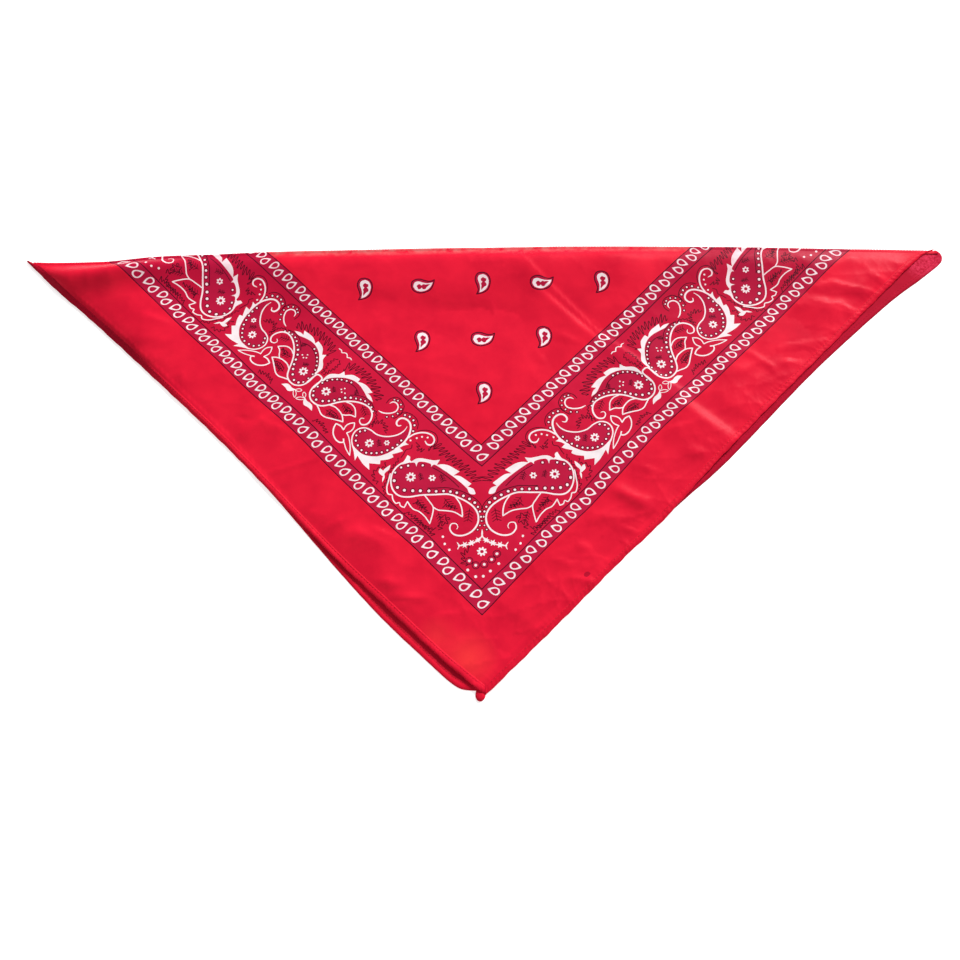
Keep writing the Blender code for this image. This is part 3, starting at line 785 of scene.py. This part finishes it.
def octant():
    """The motifs between the middle of a side and the corner's diagonal."""
    sheet = Print()
    for points in BODIES:
        sheet.blob("deep", points)
    for reach, pitch, points in SCRIBBLES:
        sheet.scribble(points, reach, pitch)
    for points in PEN_LINES:
        sheet.stroke("black", points, PEN)
    for x, y, size, angle in SPRIGS:
        sheet.sprig((x, y), size, angle)
    for points in LEAFY_EDGES:
        sheet.blob("white", points)
    for radius, edge, places in DOT_ROWS:
        sheet.dots(places, radius, edge)
    for width, ends, points in BRUSH_LINES:
        sheet.stroke("white", points, width, 0.4, ends)
    for x, y, radius, petals in FLOWERS:
        sheet.flower((x, y), radius, petals)
    for x, y, radius in STARS:
        sheet.star((x, y), radius)
    return sheet.shapes


def pulled(x, y):
    """Where the pulls take a point of the square."""
    shares = [math.exp(-((x - px) ** 2 + (y - py) ** 2) / reach**2) for px, py, reach, _, _ in PULLS]
    move_x = sum(pull[3] * share for pull, share in zip(PULLS, shares))
    move_y = sum(pull[4] * share for pull, share in zip(PULLS, shares))
    return x + move_x, y + move_y


def to_cloth(point):
    """From the print's frame, square to its sides, to the cloth's."""
    a = point[0] * (1.0 - PRINT_STRETCH)
    b = point[1] * (1.0 + PRINT_STRETCH)
    x, y = PRINT_CENTRE[0] + (a - b) / ROOT2, PRINT_CENTRE[1] - (a + b) / ROOT2
    return pulled(x, y)


def whole_print():
    """All shapes of the square, in the cloth's own plane."""
    shapes = []
    outer, second, third, inner = PRINT_LINES

    def place(items, move):
        shapes.extend((ink, [to_cloth(move(q)) for q in divided(points, 9.0)]) for ink, points in items)

    def quarter_turns(items):
        for c, s in ((1, 0), (0, 1), (-1, 0), (0, -1)):
            place(items, lambda q, c=c, s=s: (q[0] * c - q[1] * s, q[0] * s + q[1] * c))

    bands = Print()
    for ink, far, near in (("deep", outer, second), ("band", second, third), ("deep", third, inner)):
        bands.fill(ink, [(near, -near), (far, -far), (far, far), (near, near)])
    quarter_turns(bands.shapes)
    lines = Print()
    for distance in PRINT_LINES:
        low, high = distance - LINE_WIDTH / 2, distance + LINE_WIDTH / 2
        lines.fill("black", [(low, -low), (high, -high), (high, high), (low, low)])
    for drop in CORNER_DROPS:
        lines.drop(*drop)
    lines.dots(CORNER_DOTS[0], CORNER_DOT, 0.5, 1.5)
    lines.dots(CORNER_DOTS[1], CORNER_DOT, 0.0)
    lines.scribble(*CORNER_SCRIBBLE)
    lines.flower(*CORNER_FLOWER)
    quarter_turns(lines.shapes)
    drops, next_drops = Print(), Print()
    for row in DROP_ROWS:
        drops.drop_row(*row)
    for row in NEXT_DROP_ROWS:
        next_drops.drop_row(*row)
    for flip in (1, -1):
        place(drops.shapes, lambda q, flip=flip: (flip * q[0], flip * q[1]))
        place(next_drops.shapes, lambda q, flip=flip: (flip * q[1], flip * q[0]))
    motifs = octant()
    for side in (1, -1):
        for hand in (1, -1):
            place(motifs, lambda q, side=side, hand=hand: (side * q[1], hand * q[0]))
            place(motifs, lambda q, side=side, hand=hand: (hand * q[0], side * q[1]))
    middle = Print()
    for row in range(-3, 4):
        for column in range(-3 + abs(row), 4 - abs(row)):
            x, y = pulled(PRINT_CENTRE[0] + LATTICE * column, PRINT_CENTRE[1] - 0.5 + LATTICE * row)
            middle.boteh(x, y, (column + row) % 2 == 1)
    return shapes + middle.shapes


# ---------------------------------------------------------------- materials

THREAD_SPACING = 0.42          # of the weave


def new_material(name):
    material = bpy.data.materials.new(name)
    material.use_nodes = True
    return material, material.node_tree.nodes, material.node_tree.links


def mixed(nodes, links, factor, low, high):
    """A mix of two colours, of which the first may come from another node."""
    mix = nodes.new("ShaderNodeMix")
    mix.data_type = "RGBA"
    if isinstance(low, tuple):
        mix.inputs[6].default_value = (*low, 1.0)
    else:
        links.new(low, mix.inputs[6])
    mix.inputs[7].default_value = (*high, 1.0)
    links.new(factor, mix.inputs[0])
    return mix.outputs[2]


def noise(nodes, links, place, size, detail=2.0):
    """Soft mottling whose spots are about size millimetres across."""
    texture = nodes.new("ShaderNodeTexNoise")
    texture.inputs["Scale"].default_value = 1000.0 / size
    texture.inputs["Detail"].default_value = detail
    links.new(place, texture.inputs["Vector"])
    return texture.outputs["Fac"]


def ranged(nodes, links, value, low, high):
    """How far a value has come from low to high."""
    ramp = nodes.new("ShaderNodeMapRange")
    ramp.inputs["From Min"].default_value = low
    ramp.inputs["From Max"].default_value = high
    links.new(value, ramp.inputs["Value"])
    return ramp.outputs["Result"]


def product(nodes, links, first, second):
    times = nodes.new("ShaderNodeMath")
    times.operation = "MULTIPLY"
    links.new(first, times.inputs[0])
    links.new(second, times.inputs[1])
    return times.outputs[0]


def bump(nodes, links, height, strength, distance):
    """A bump node whose heights are in millimetres."""
    raised = nodes.new("ShaderNodeBump")
    raised.inputs["Strength"].default_value = strength
    raised.inputs["Distance"].default_value = distance * MM
    links.new(height, raised.inputs["Height"])
    return raised


def changed(nodes, links, place, colour, measure, start, end, tone, patches):
    """The colour running over to another tone, along an axis (0, 1) or by the distance to a place."""
    if isinstance(measure, int):
        parts = nodes.new("ShaderNodeSeparateXYZ")
        links.new(place, parts.inputs[0])
        reach = parts.outputs[measure]
    else:
        apart = nodes.new("ShaderNodeVectorMath")
        apart.operation = "DISTANCE"
        apart.inputs[1].default_value = [MM * c for c in measure]
        links.new(place, apart.inputs[0])
        reach = apart.outputs["Value"]
    share = ranged(nodes, links, reach, start * MM, end * MM)
    if patches:
        spots = ranged(nodes, links, noise(nodes, links, place, patches, 3.0), 0.3, 0.7)
        share = product(nodes, links, share, spots)
    return mixed(nodes, links, share, colour, tone)


def cotton(name, low, high, roughness, weave=0.3, sheen=0.012, spots=26.0, changes=()):
    """Woven cotton: two tones that mottle into each other, a fine plain weave and a soft sheen."""
    material, nodes, links = new_material(name)
    shader = nodes["Principled BSDF"]
    place = nodes.new("ShaderNodeTexCoord").outputs["Object"]
    mottling = ranged(nodes, links, noise(nodes, links, place, spots, 3.0), 0.3, 0.7)
    colour = mixed(nodes, links, mottling, low, high)
    for change in changes:
        colour = changed(nodes, links, place, colour, *change)
    links.new(colour, shader.inputs["Base Color"])
    shader.inputs["Roughness"].default_value = roughness
    shader.inputs["Specular IOR Level"].default_value = 0.04
    shader.inputs["Sheen Weight"].default_value = sheen
    shader.inputs["Sheen Roughness"].default_value = 0.45
    shader.inputs["Sheen Tint"].default_value = (1.0, 0.55, 0.55, 1.0)
    threads = []
    for angle in (45.0, -45.0):
        turn = nodes.new("ShaderNodeMapping")
        turn.inputs["Rotation"].default_value[2] = math.radians(angle)
        links.new(place, turn.inputs["Vector"])
        wave = nodes.new("ShaderNodeTexWave")
        wave.bands_direction = "X"
        wave.inputs["Scale"].default_value = math.tau / 20.0 / (THREAD_SPACING * MM)
        wave.inputs["Distortion"].default_value = 0.6
        links.new(turn.outputs["Vector"], wave.inputs["Vector"])
        threads.append(wave.outputs["Fac"])
    woven = bump(nodes, links, product(nodes, links, *threads), weave, 0.06)
    crumpled = bump(nodes, links, noise(nodes, links, place, 9.0, 2.0), 0.5, 0.25)
    links.new(woven.outputs["Normal"], crumpled.inputs["Normal"])
    links.new(crumpled.outputs["Normal"], shader.inputs["Normal"])
    return material


# Changes of tone, in the part's frame. Columns: an axis or a place, the two distances between which
# the cloth runs over to another tone, that tone, and the size of its patches, or 0 for none.
# A pale, mottled strip along the fold's top: painted sheen where light grazes the turn.
FOLD_PAINTED_SHEEN = (1, 189.5, 198.0, (0.58, 0.19, 0.175), 7.0)
TIP_SHADE = (0, -255.0, -300.0, (0.42, 0.004, 0.022), 0.0)
# Towards the left the reverse side turns lighter: painted light in the gap that the upper half's lifted edge
# shadows.
REVERSE_LIGHTER_LEFT = (0, 60.0, -60.0, (0.72, 0.009, 0.034), 0.0)
SHEER_PATCH = ((384.5, 179.0, 0.6), 21.0, 12.0, (0.70, 0.032, 0.088), 1.8)
SHEEN = ((-14.0, -166.0, 2.0), 25.0, 2.0, (0.77, 0.028, 0.036), 0.0)
SHEEN_ABOVE = ((-38.0, -149.0, 2.0), 18.0, 2.0, (0.76, 0.020, 0.036), 0.0)
BAND_SHADE = (1, 90.0, 190.0, (0.42, 0.0050, 0.033), 0.0)
DEEP_SHADE = (1, 90.0, 190.0, (0.39, 0.0060, 0.038), 0.0)
# The white ink turns dimmer and pinker, in patches, towards the fold.
WHITE_PINKER_NEAR_FOLD = (1, 130.0, 195.0, (0.74, 0.40, 0.45), 7.0)
# Tones that several materials share.
HEM_TONES = ((0.65, 0.007, 0.029), (0.74, 0.009, 0.035))
# The reverse side's duller red, darkened further as painted shade of the band that shows on the right.
REVERSE_SHADE_TONES = ((0.38, 0.0035, 0.021), (0.44, 0.0045, 0.026))
GROUND = cotton("red_ground", (0.63, 0.0068, 0.030), (0.77, 0.0108, 0.037), 0.36,
                changes=[FOLD_PAINTED_SHEEN, SHEEN, SHEEN_ABOVE])
BAND = cotton("band_ground", (0.54, 0.0080, 0.038), (0.60, 0.0100, 0.045), 0.36, changes=[BAND_SHADE])
DEEP = cotton("crimson_ground", (0.44, 0.0090, 0.043), (0.49, 0.0110, 0.051), 0.36, changes=[DEEP_SHADE])
BLACK = cotton("black_ink", (0.024, 0.0015, 0.008), (0.042, 0.003, 0.012), 0.5, sheen=0.0)
WHITE = cotton("white_ink", (0.80, 0.68, 0.70), (0.90, 0.80, 0.82), 0.6, sheen=0.0, spots=7.0,
               changes=[WHITE_PINKER_NEAR_FOLD])
REVERSE = cotton("red_reverse", *REVERSE_SHADE_TONES, 0.7, sheen=0.0, spots=14.0, changes=[REVERSE_LIGHTER_LEFT, SHEER_PATCH])
HEM_RED = cotton("hem_red", *HEM_TONES, 0.45, spots=6.0)
HEM_TIP = cotton("hem_shaded", *HEM_TONES, 0.45, spots=6.0, changes=[TIP_SHADE])
# The right lower hem takes the reverse's darker tones as painted shade.
HEM_DARK = cotton("hem_painted_shade", *REVERSE_SHADE_TONES, 0.7, sheen=0.0, spots=9.0, changes=[SHEER_PATCH])
THREAD = cotton("thread_red", (0.66, 0.015, 0.04), (0.76, 0.03, 0.06), 0.5, spots=3.0)
# The right lower hem's thread is darkened as painted shade too.
THREAD_DARK = cotton("thread_painted_shade", (0.36, 0.005, 0.025), (0.44, 0.007, 0.031), 0.5, spots=3.0)
THREAD_TIP = cotton("thread_shaded", (0.60, 0.010, 0.030), (0.70, 0.015, 0.040), 0.5, changes=[TIP_SHADE])
INKS = {"ground": 0, "band": 1, "deep": 2, "black": 3, "white": 4}
CLOTH_SLOTS = (GROUND, BAND, DEEP, BLACK, WHITE, REVERSE)
REVERSE_SLOT = 5


# ---------------------------------------------------------------- meshes

def new_piece(name, points, faces, materials, slots=None, loop_normals=None):
    """A mesh object in the part's frame from points in millimetres from the square's centre."""
    places = np.asarray(points, float) + (*CENTRE, 0.0)
    mesh = bpy.data.meshes.new(name)
    mesh.from_pydata((places * MM).tolist(), [], faces)
    for material in materials:
        mesh.materials.append(material)
    if slots is not None:
        mesh.polygons.foreach_set("material_index", np.asarray(slots, np.int32))
    mesh.polygons.foreach_set("use_smooth", np.ones(len(mesh.polygons), bool))
    if loop_normals is not None:
        mesh.normals_split_custom_set(loop_normals.tolist())
    mesh.update()
    piece = bpy.data.objects.new(name, mesh)
    bpy.context.scene.collection.objects.link(piece)
    return piece


def inside_polygon(xs, ys, outline):
    """Which of the points lie inside the outline."""
    found = np.zeros(xs.shape, bool)
    for (x0, y0), (x1, y1) in zip(outline, outline[1:] + outline[:1]):
        crosses = (y0 > ys) != (y1 > ys)
        with np.errstate(divide="ignore", invalid="ignore"):
            at = x0 + (ys - y0) * (x1 - x0) / (y1 - y0)
        found ^= crosses & (xs < at)
    return found


def grid_points(outline, step_x, step_y):
    """The cloth's own vertices: rows set off against each other, inside the outline."""
    low, high = np.min(outline, 0), np.max(outline, 0)
    rows = np.arange(low[1] + step_y / 2, high[1], step_y)
    columns = np.arange(low[0] + step_x / 2, high[0], step_x)
    xs, ys = np.meshgrid(columns, rows)
    xs = xs + (np.arange(len(rows)) % 2)[:, None] * step_x / 2
    keep = inside_polygon(xs, ys, outline)
    for dx, dy in ((0.3, 0), (-0.3, 0), (0, 0.3), (0, -0.3)):
        keep &= inside_polygon(xs + dx * step_x, ys + dy * step_y, outline)
    return np.stack([xs[keep], ys[keep]], -1)


def divided(points, step=3.0):
    """The same polygon with more vertices on its long edges, so that it can follow the relief."""
    outline = []
    for (x0, y0), (x1, y1) in zip(points, points[1:] + points[:1]):
        parts = max(1, round(math.dist((x0, y0), (x1, y1)) / step))
        outline += [(x0 + (x1 - x0) * i / parts, y0 + (y1 - y0) * i / parts) for i in range(parts)]
    return outline


def area_of(points):
    return 0.5 * sum(x0 * y1 - x1 * y0 for (x0, y0), (x1, y1) in zip(points, points[1:] + points[:1]))


def hem_points(outline, table, side):
    """Closer rows of vertices beside a puckered hem."""
    line = side_line(side, table, 1.3)
    rows = np.array([inwards(p, inside) for inside in np.arange(HEM + 0.5, HEM + 12.0, 2.0) for p in line])
    keep = inside_polygon(rows[:, 0], rows[:, 1], outline)
    for dx, dy in ((1.2, 0), (-1.2, 0), (0, 1.2), (0, -1.2)):
        keep &= inside_polygon(rows[:, 0] + dx, rows[:, 1] + dy, outline)
    return rows[keep]


def triangulate(outline, own, shapes):
    """Triangles inside the outline, each with the ink that lies on top there."""
    corners = [Vector(p) for p in outline] + [Vector(p) for p in own.tolist()]
    faces, inks = [list(range(len(outline)))], [0]
    low, high = np.min(outline, 0), np.max(outline, 0)
    for ink, points in shapes:
        box_low, box_high = np.min(points, 0), np.max(points, 0)
        if (box_high < low).any() or (box_low > high).any():
            continue
        points = divided(points if area_of(points) > 0.0 else points[::-1])
        faces.append(list(range(len(corners), len(corners) + len(points))))
        corners.extend(Vector(p) for p in points)
        inks.append(INKS[ink])
    flat, _, triangles, _, _, sources = delaunay_2d_cdt(corners, [], faces, 0, MERGE, True)
    kept = [i for i, source in enumerate(sources) if 0 in source and len(triangles[i]) == 3]
    slots = [inks[max(sources[i])] for i in kept]
    used, triangles = np.unique(np.array([triangles[i] for i in kept]), return_inverse=True)
    flat = np.array([(v.x, v.y) for v in flat])[used]
    return flat, triangles.reshape(-1, 3), np.array(slots)


def rim_of(triangles):
    """The outline's edges, in the direction in which their triangles run, as one loop."""
    edges = {(a, b) for t in triangles.tolist() for a, b in ((t[0], t[1]), (t[1], t[2]), (t[2], t[0]))}
    after = {a: b for a, b in edges if (b, a) not in edges}
    loop = [next(iter(sorted(after)))]
    while after[loop[-1]] != loop[0]:
        loop.append(after[loop[-1]])
    return loop


def reverse_side(outline, rim, surface, rows):
    """The reverse side, with fewer vertices: points, normals, triangles, and where the rim's points are."""
    own = grid_points(outline, REVERSE_GRID, rows)
    corners = [Vector(p) for p in [*rim.tolist(), *own.tolist()]]
    flat, _, triangles, origins, _, faces_of = delaunay_2d_cdt(
        corners, [], [list(range(len(rim)))], 0, REVERSE_MERGE, True
    )
    flat = np.array([(v.x, v.y) for v in flat])
    x, y = flat[:, 0], flat[:, 1]
    facing = normals(surface, x, y)
    place_of = {}
    for index, sources in enumerate(origins):
        for source in sources:
            place_of.setdefault(source, index)
    kept = [t for t, source in zip(triangles, faces_of) if source]
    return surface(x, y) - CLOTH * facing, facing, kept, place_of


def cloth_piece(name, outline, surface, shapes, rows=GRID, reverse_rows=REVERSE_GRID, extra=()):
    """A thin closed shell of cloth: its printed side on the surface, its reverse a cloth's width in."""
    own = np.concatenate([grid_points(outline, GRID, rows), *extra])
    flat, triangles, slots = triangulate(outline, own, shapes)
    loop = rim_of(triangles)
    x, y = flat[:, 0], flat[:, 1]
    outer = surface(x, y)
    facing = normals(surface, x, y)
    inner, facing_back, back_triangles, place_of = reverse_side(outline, flat[loop], surface, reverse_rows)
    count = len(flat)
    faces = triangles.tolist()
    face_normals = [facing[t] for t in faces]
    face_slots = slots.tolist()
    for triangle in back_triangles:
        corners = list(reversed(triangle))
        faces.append([count + i for i in corners])
        face_normals.append(-facing_back[corners])
        face_slots.append(REVERSE_SLOT)
    for i, a in enumerate(loop):
        j = (i + 1) % len(loop)
        b, c, d = loop[j], place_of[j], place_of[i]
        out = np.cross(outer[a] - outer[b], inner[d] - outer[b])
        out = out / max(np.linalg.norm(out), 1e-9)
        faces.append([b, a, count + d, count + c])
        face_normals.append(np.repeat(out[None, :], 4, 0))
        face_slots.append(INKS["ground"])
    loops = np.concatenate(face_normals)
    return new_piece(name, np.concatenate([outer, inner]), faces, CLOTH_SLOTS, face_slots, loops)


# ---------------------------------------------------------------- outlines of the layers, in the flat

def seam_points(x0, x1):
    """Evenly spaced x along the fold."""
    return np.linspace(x0, x1, max(2, round((x1 - x0) / EDGE_STEP)) + 1)


def layer_outline(left, right, back=False):
    """A layer's outline in the flat, from the fold's seam to the middle of its hems.

    The lower half is unfolded upwards, beyond the turn.
    """
    lines = []
    for side, table in ((-1.0, left), (1.0, right)):
        line = [inwards(p, 0.5 * HEM) for p in side_line(side, table)]
        lines.append([p for p in line if p[1] < float(seam_y(p[0])) - 0.8])
    left_line, right_line = lines
    xs = seam_points(left_line[0][0] + 0.5, right_line[0][0] - 0.5)
    seam = list(zip(xs.tolist(), seam_y(xs).tolist()))
    outline = left_line + right_line[::-1] + seam[::-1]
    if not back:
        return outline
    plan = np.array(outline)
    length = turn_length(plan[:, 0])
    lifted = 2.0 * seam_y(plan[:, 0]) + length - plan[:, 1]
    return list(zip(plan[:, 0].tolist(), lifted.tolist()))[::-1]


def turn_outline(x0, x1):
    """The turn's outline in the flat, from seam to seam."""
    xs = seam_points(x0, x1)
    low = list(zip(xs.tolist(), seam_y(xs).tolist()))
    high = list(zip(xs.tolist(), (seam_y(xs) + turn_length(xs)).tolist()))
    return low + high[::-1]


# ---------------------------------------------------------------- hems, stitches and the knob

# A folded hem's section. Columns: share of its width from the outer edge, height, top or under side.
HEM_SECTION = (
    (0.000, 0.16), (0.035, 0.04), (0.12, 0.00), (0.35, 0.00), (0.70, 0.00), (0.93, 0.10), (1.00, 0.30),
    (0.96, 0.52), (0.86, 0.60), (0.78, 0.56), (0.68, 0.70), (0.50, 0.86), (0.30, 0.88), (0.12, 0.64),
    (0.03, 0.34),
)
HEM_STEP = 1.1                 # spacing of the sections along a hem
STITCH_AT = 0.78               # share of the hem's width where its seam runs
STITCH_PITCH = 3.1
STITCH_LENGTH = 2.3
STITCH_RADIUS = 0.20
STITCH_RINGS = 5
STITCH_SIDES = 6


def level(x, _y):
    """The lower half lies flat."""
    return np.zeros_like(x)


def hem_way(side, table):
    """Evenly spaced points of the hem's outer edge and the length along it."""
    line = np.array(side_line(side, table, 0.8))
    steps = np.hypot(*np.diff(line, axis=0).T)
    lengths = np.concatenate([[0.0], np.cumsum(steps)])
    return line, lengths


def tube(rings, around):
    """The faces of a closed run of rings, each with so many vertices, and of its two ends."""
    faces = []
    for row in range(rings - 1):
        for i in range(around):
            j = (i + 1) % around
            a, b = row * around, (row + 1) * around
            faces.append((a + i, a + j, b + j, b + i))
    faces.append(tuple(reversed(range(around))))
    faces.append(tuple((rings - 1) * around + i for i in range(around)))
    return faces


def hem_piece(name, side, table, base, lift, start, ripple, material):
    """The hem swept along its side and puckered by its stitches."""
    line, lengths = hem_way(side, table)
    marks = np.append(np.arange(0.0, lengths[-1], HEM_STEP), lengths[-1])[:, None]
    share, rise = np.array(HEM_SECTION).T
    pucker = np.sin(marks / 0.72 + 1.7 * np.sin(marks / 13.0 + start))
    pucker = pucker * (0.6 + 0.4 * np.sin(marks / 7.9 + start))
    fade = np.minimum(1.0, marks / 6.0)
    width = HEM * np.minimum(1.0, 0.25 + marks / 14.0)
    edge = ripple * (0.22 * np.sin(marks / 4.3 + start) + 0.14 * np.sin(marks / 1.9 + 2.0 * start)) * fade
    inside = 1.0 - (share * width - edge * (1.0 - share)) / HALF_SIDE
    x = np.interp(marks, lengths, line[:, 0]) * inside
    y = np.interp(marks, lengths, line[:, 1]) * inside
    wave = 0.22 * ripple * pucker * np.sin(math.pi * np.minimum(1.0, share / STITCH_AT))
    wave = wave + 0.06 + 0.06 * np.sin(marks / 37.0)
    z = base + lift(x, y) + rise + fade * wave * (rise > 0.3)
    points = np.stack([x, y, np.maximum(z, 0.01)], -1).reshape(-1, 3)
    faces = tube(len(marks), len(share))
    if side < 0:
        faces = [face[::-1] for face in faces]
    return new_piece(name, points, faces, (material,))


def stitches(name, side, table, base, lift, material):
    """The hem's seam: short threads that dip into the cloth at both ends."""
    line, lengths = hem_way(side, table)
    starts = np.arange(9.0, lengths[-1] - 7.0, STITCH_PITCH)[:, None, None]
    part = np.linspace(0.0, 1.0, STITCH_RINGS)[None, :, None]
    angle = (math.tau * np.arange(STITCH_SIDES) / STITCH_SIDES)[None, None, :]
    at = starts + (part - 0.5) * STITCH_LENGTH
    inside = 1.0 - STITCH_AT * HEM / HALF_SIDE
    x = np.interp(at, lengths, line[:, 0]) * inside
    y = np.interp(at, lengths, line[:, 1]) * inside
    swell = np.sin(math.pi * (0.12 + 0.76 * part))
    radius = STITCH_RADIUS * (0.55 + 0.45 * swell)
    z = base + lift(x, y) + 0.56 + 0.20 * swell + radius * np.sin(angle)
    across = radius * np.cos(angle) / ROOT2
    points = np.stack([x - side * across, y + across, z], -1)
    faces = []
    for first in range(0, len(starts) * STITCH_RINGS * STITCH_SIDES, STITCH_RINGS * STITCH_SIDES):
        faces += [tuple(first + i for i in face) for face in tube(STITCH_RINGS, STITCH_SIDES)]
    return new_piece(name, points.reshape(-1, 3), faces, (material,))


def knob_piece():
    """The lower half's corner, where its two hems are turned in over each other."""
    around, levels = 28, 8
    angle = (math.tau * np.arange(around) / around)[None, :]
    part = np.linspace(0.0, 1.0, levels)[:, None]
    radius = KNOB_RADIUS * np.sqrt(np.maximum(0.0, 1.0 - (0.97 * part) ** 2.6))
    radius = radius * (1.0 - 0.16 * np.exp(-(((angle - 2.2) / 0.3) ** 2)) + 0.05 * np.sin(3.0 * angle + 0.5))
    x = KNOB[0] + radius * np.cos(angle)
    y = KNOB[1] + radius * np.sin(angle) * np.where(np.sin(angle) > 0.0, 2.1, 0.96)
    points = np.stack([x, y, 0.02 + 2.0 * part + 0.0 * angle], -1)
    return new_piece("corner_knob", points.reshape(-1, 3), tube(levels, around), (HEM_RED,))


# ---------------------------------------------------------------- the stage, in metres

CAMERA_TARGET = (-0.0035, -0.0196, 0.0)
CAMERA_DISTANCE = 0.9321
CAMERA_ELEVATION = 69.143
CAMERA_AZIMUTH = -1.599
CAMERA_ROLL = -2.322
CAMERA_LENS = 43.0
FLOOR_TONE = 0.80
FLOOR_GLOW = 0.6               # it makes the floor come out white
WORLD_STRENGTH = 0.28
# Lights. Columns: name, place, size, power.
LIGHTS = (("key", (2.80, 4.40, 3.00), 2.0, 588.0), ("fill", (-0.8, -0.9, 1.9), 1.6, 5.0))


def add_camera():
    elevation, azimuth = math.radians(CAMERA_ELEVATION), math.radians(CAMERA_AZIMUTH)
    ahead = Vector((
        math.sin(azimuth) * math.cos(elevation),
        math.cos(azimuth) * math.cos(elevation),
        -math.sin(elevation),
    ))
    right = Vector((math.cos(azimuth), -math.sin(azimuth), 0.0))
    up = right.cross(ahead)
    roll = math.radians(CAMERA_ROLL)
    across = right * math.cos(roll) + up * math.sin(roll)
    upright = up * math.cos(roll) - right * math.sin(roll)
    data = bpy.data.cameras.new("camera")
    data.lens = CAMERA_LENS
    data.sensor_width = 36.0
    camera = bpy.data.objects.new("camera", data)
    turn = Matrix((across, upright, -ahead)).transposed().to_4x4()
    camera.matrix_world = Matrix.Translation(Vector(CAMERA_TARGET) - ahead * CAMERA_DISTANCE) @ turn
    bpy.context.scene.collection.objects.link(camera)
    bpy.context.scene.camera = camera


def add_light(name, place, size, power):
    """A soft square light that looks at the middle of the cloth."""
    data = bpy.data.lights.new(name, "AREA")
    data.size = size
    data.energy = power
    light = bpy.data.objects.new(name, data)
    light.location = place
    light.rotation_euler = (-Vector(place)).to_track_quat("-Z", "Y").to_euler()
    bpy.context.scene.collection.objects.link(light)


def add_floor():
    bpy.ops.mesh.primitive_plane_add(size=8.0, location=(0.0, 0.0, -0.0002))
    floor = bpy.context.active_object
    floor.name = "floor"
    material, nodes, _links = new_material("pale_floor")
    shader = nodes["Principled BSDF"]
    shader.inputs["Base Color"].default_value = (FLOOR_TONE, FLOOR_TONE, FLOOR_TONE, 1.0)
    shader.inputs["Roughness"].default_value = 0.9
    shader.inputs["Emission Color"].default_value = (1.0, 1.0, 1.0, 1.0)
    shader.inputs["Emission Strength"].default_value = FLOOR_GLOW
    floor.data.materials.append(material)


def add_stage():
    add_camera()
    add_floor()
    for light in LIGHTS:
        add_light(*light)
    world = bpy.data.worlds.new("studio")
    world.use_nodes = True
    background = world.node_tree.nodes["Background"]
    background.inputs["Color"].default_value = (1.0, 1.0, 1.0, 1.0)
    background.inputs["Strength"].default_value = WORLD_STRENGTH
    bpy.context.scene.world = world
    bpy.context.scene.view_settings.view_transform = "Standard"


# ---------------------------------------------------------------- putting it together

# Columns: name, CAD node, side, its table, base, what lifts it, start of its waves, their strength,
# cloth, thread.
HEMS = (
    ("hem_left_upper", "hem_front_left", -1.0, FRONT_LEFT, FRONT_BASE, relief,
     0.4, 0.6, HEM_TIP, THREAD_TIP),
    ("hem_right_upper", "hem_front_right", 1.0, FRONT_RIGHT, FRONT_BASE, relief,
     1.9, 0.8, HEM_RED, THREAD),
    ("hem_left_lower", "hem_back_left", -1.0, BACK_LEFT, 0.02, level,
     3.1, 0.2, HEM_RED, THREAD),
    ("hem_right_lower", "hem_back_right", 1.0, BACK_RIGHT, 0.02, level,
     4.6, 0.2, HEM_DARK, THREAD_DARK),
)
TURN_ENDS = (-392.0, 401.5)


def make_hems():
    """The four hems, each with its seam."""
    hems = []
    for name, node, side, table, base, lift, start, ripple, material, thread in HEMS:
        hem = hem_piece(name, side, table, base, lift, start, ripple, material)
        seam = stitches(name + "_seam", side, table, base, lift, thread)
        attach(hem, "root")
        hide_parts(node)
        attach(seam, "root")
        hems.append((hem, seam))
    return hems


def main():
    add_stage()
    shapes = whole_print()
    outline = layer_outline(FRONT_LEFT, FRONT_RIGHT)
    front = cloth_piece("front_cloth", outline, front_surface, shapes,
                        extra=[hem_points(outline, FRONT_RIGHT, 1.0)])
    turn = cloth_piece("fold_turn", turn_outline(*TURN_ENDS), turn_surface, shapes, TURN_ROWS, TURN_ROWS)
    back = cloth_piece("back_cloth", layer_outline(BACK_LEFT, BACK_RIGHT, True), back_surface, shapes)
    hems = make_hems()
    knob = knob_piece()
    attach(knob, "root")
    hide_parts("corner_back")
    for piece, node, slot in (
        (front, "front_layer", "printed_cotton"),
        (turn, "fold_edge", "printed_cotton"),
        (back, "back_layer", "cotton_reverse"),
    ):
        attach(piece, "root")
        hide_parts(node)


main()
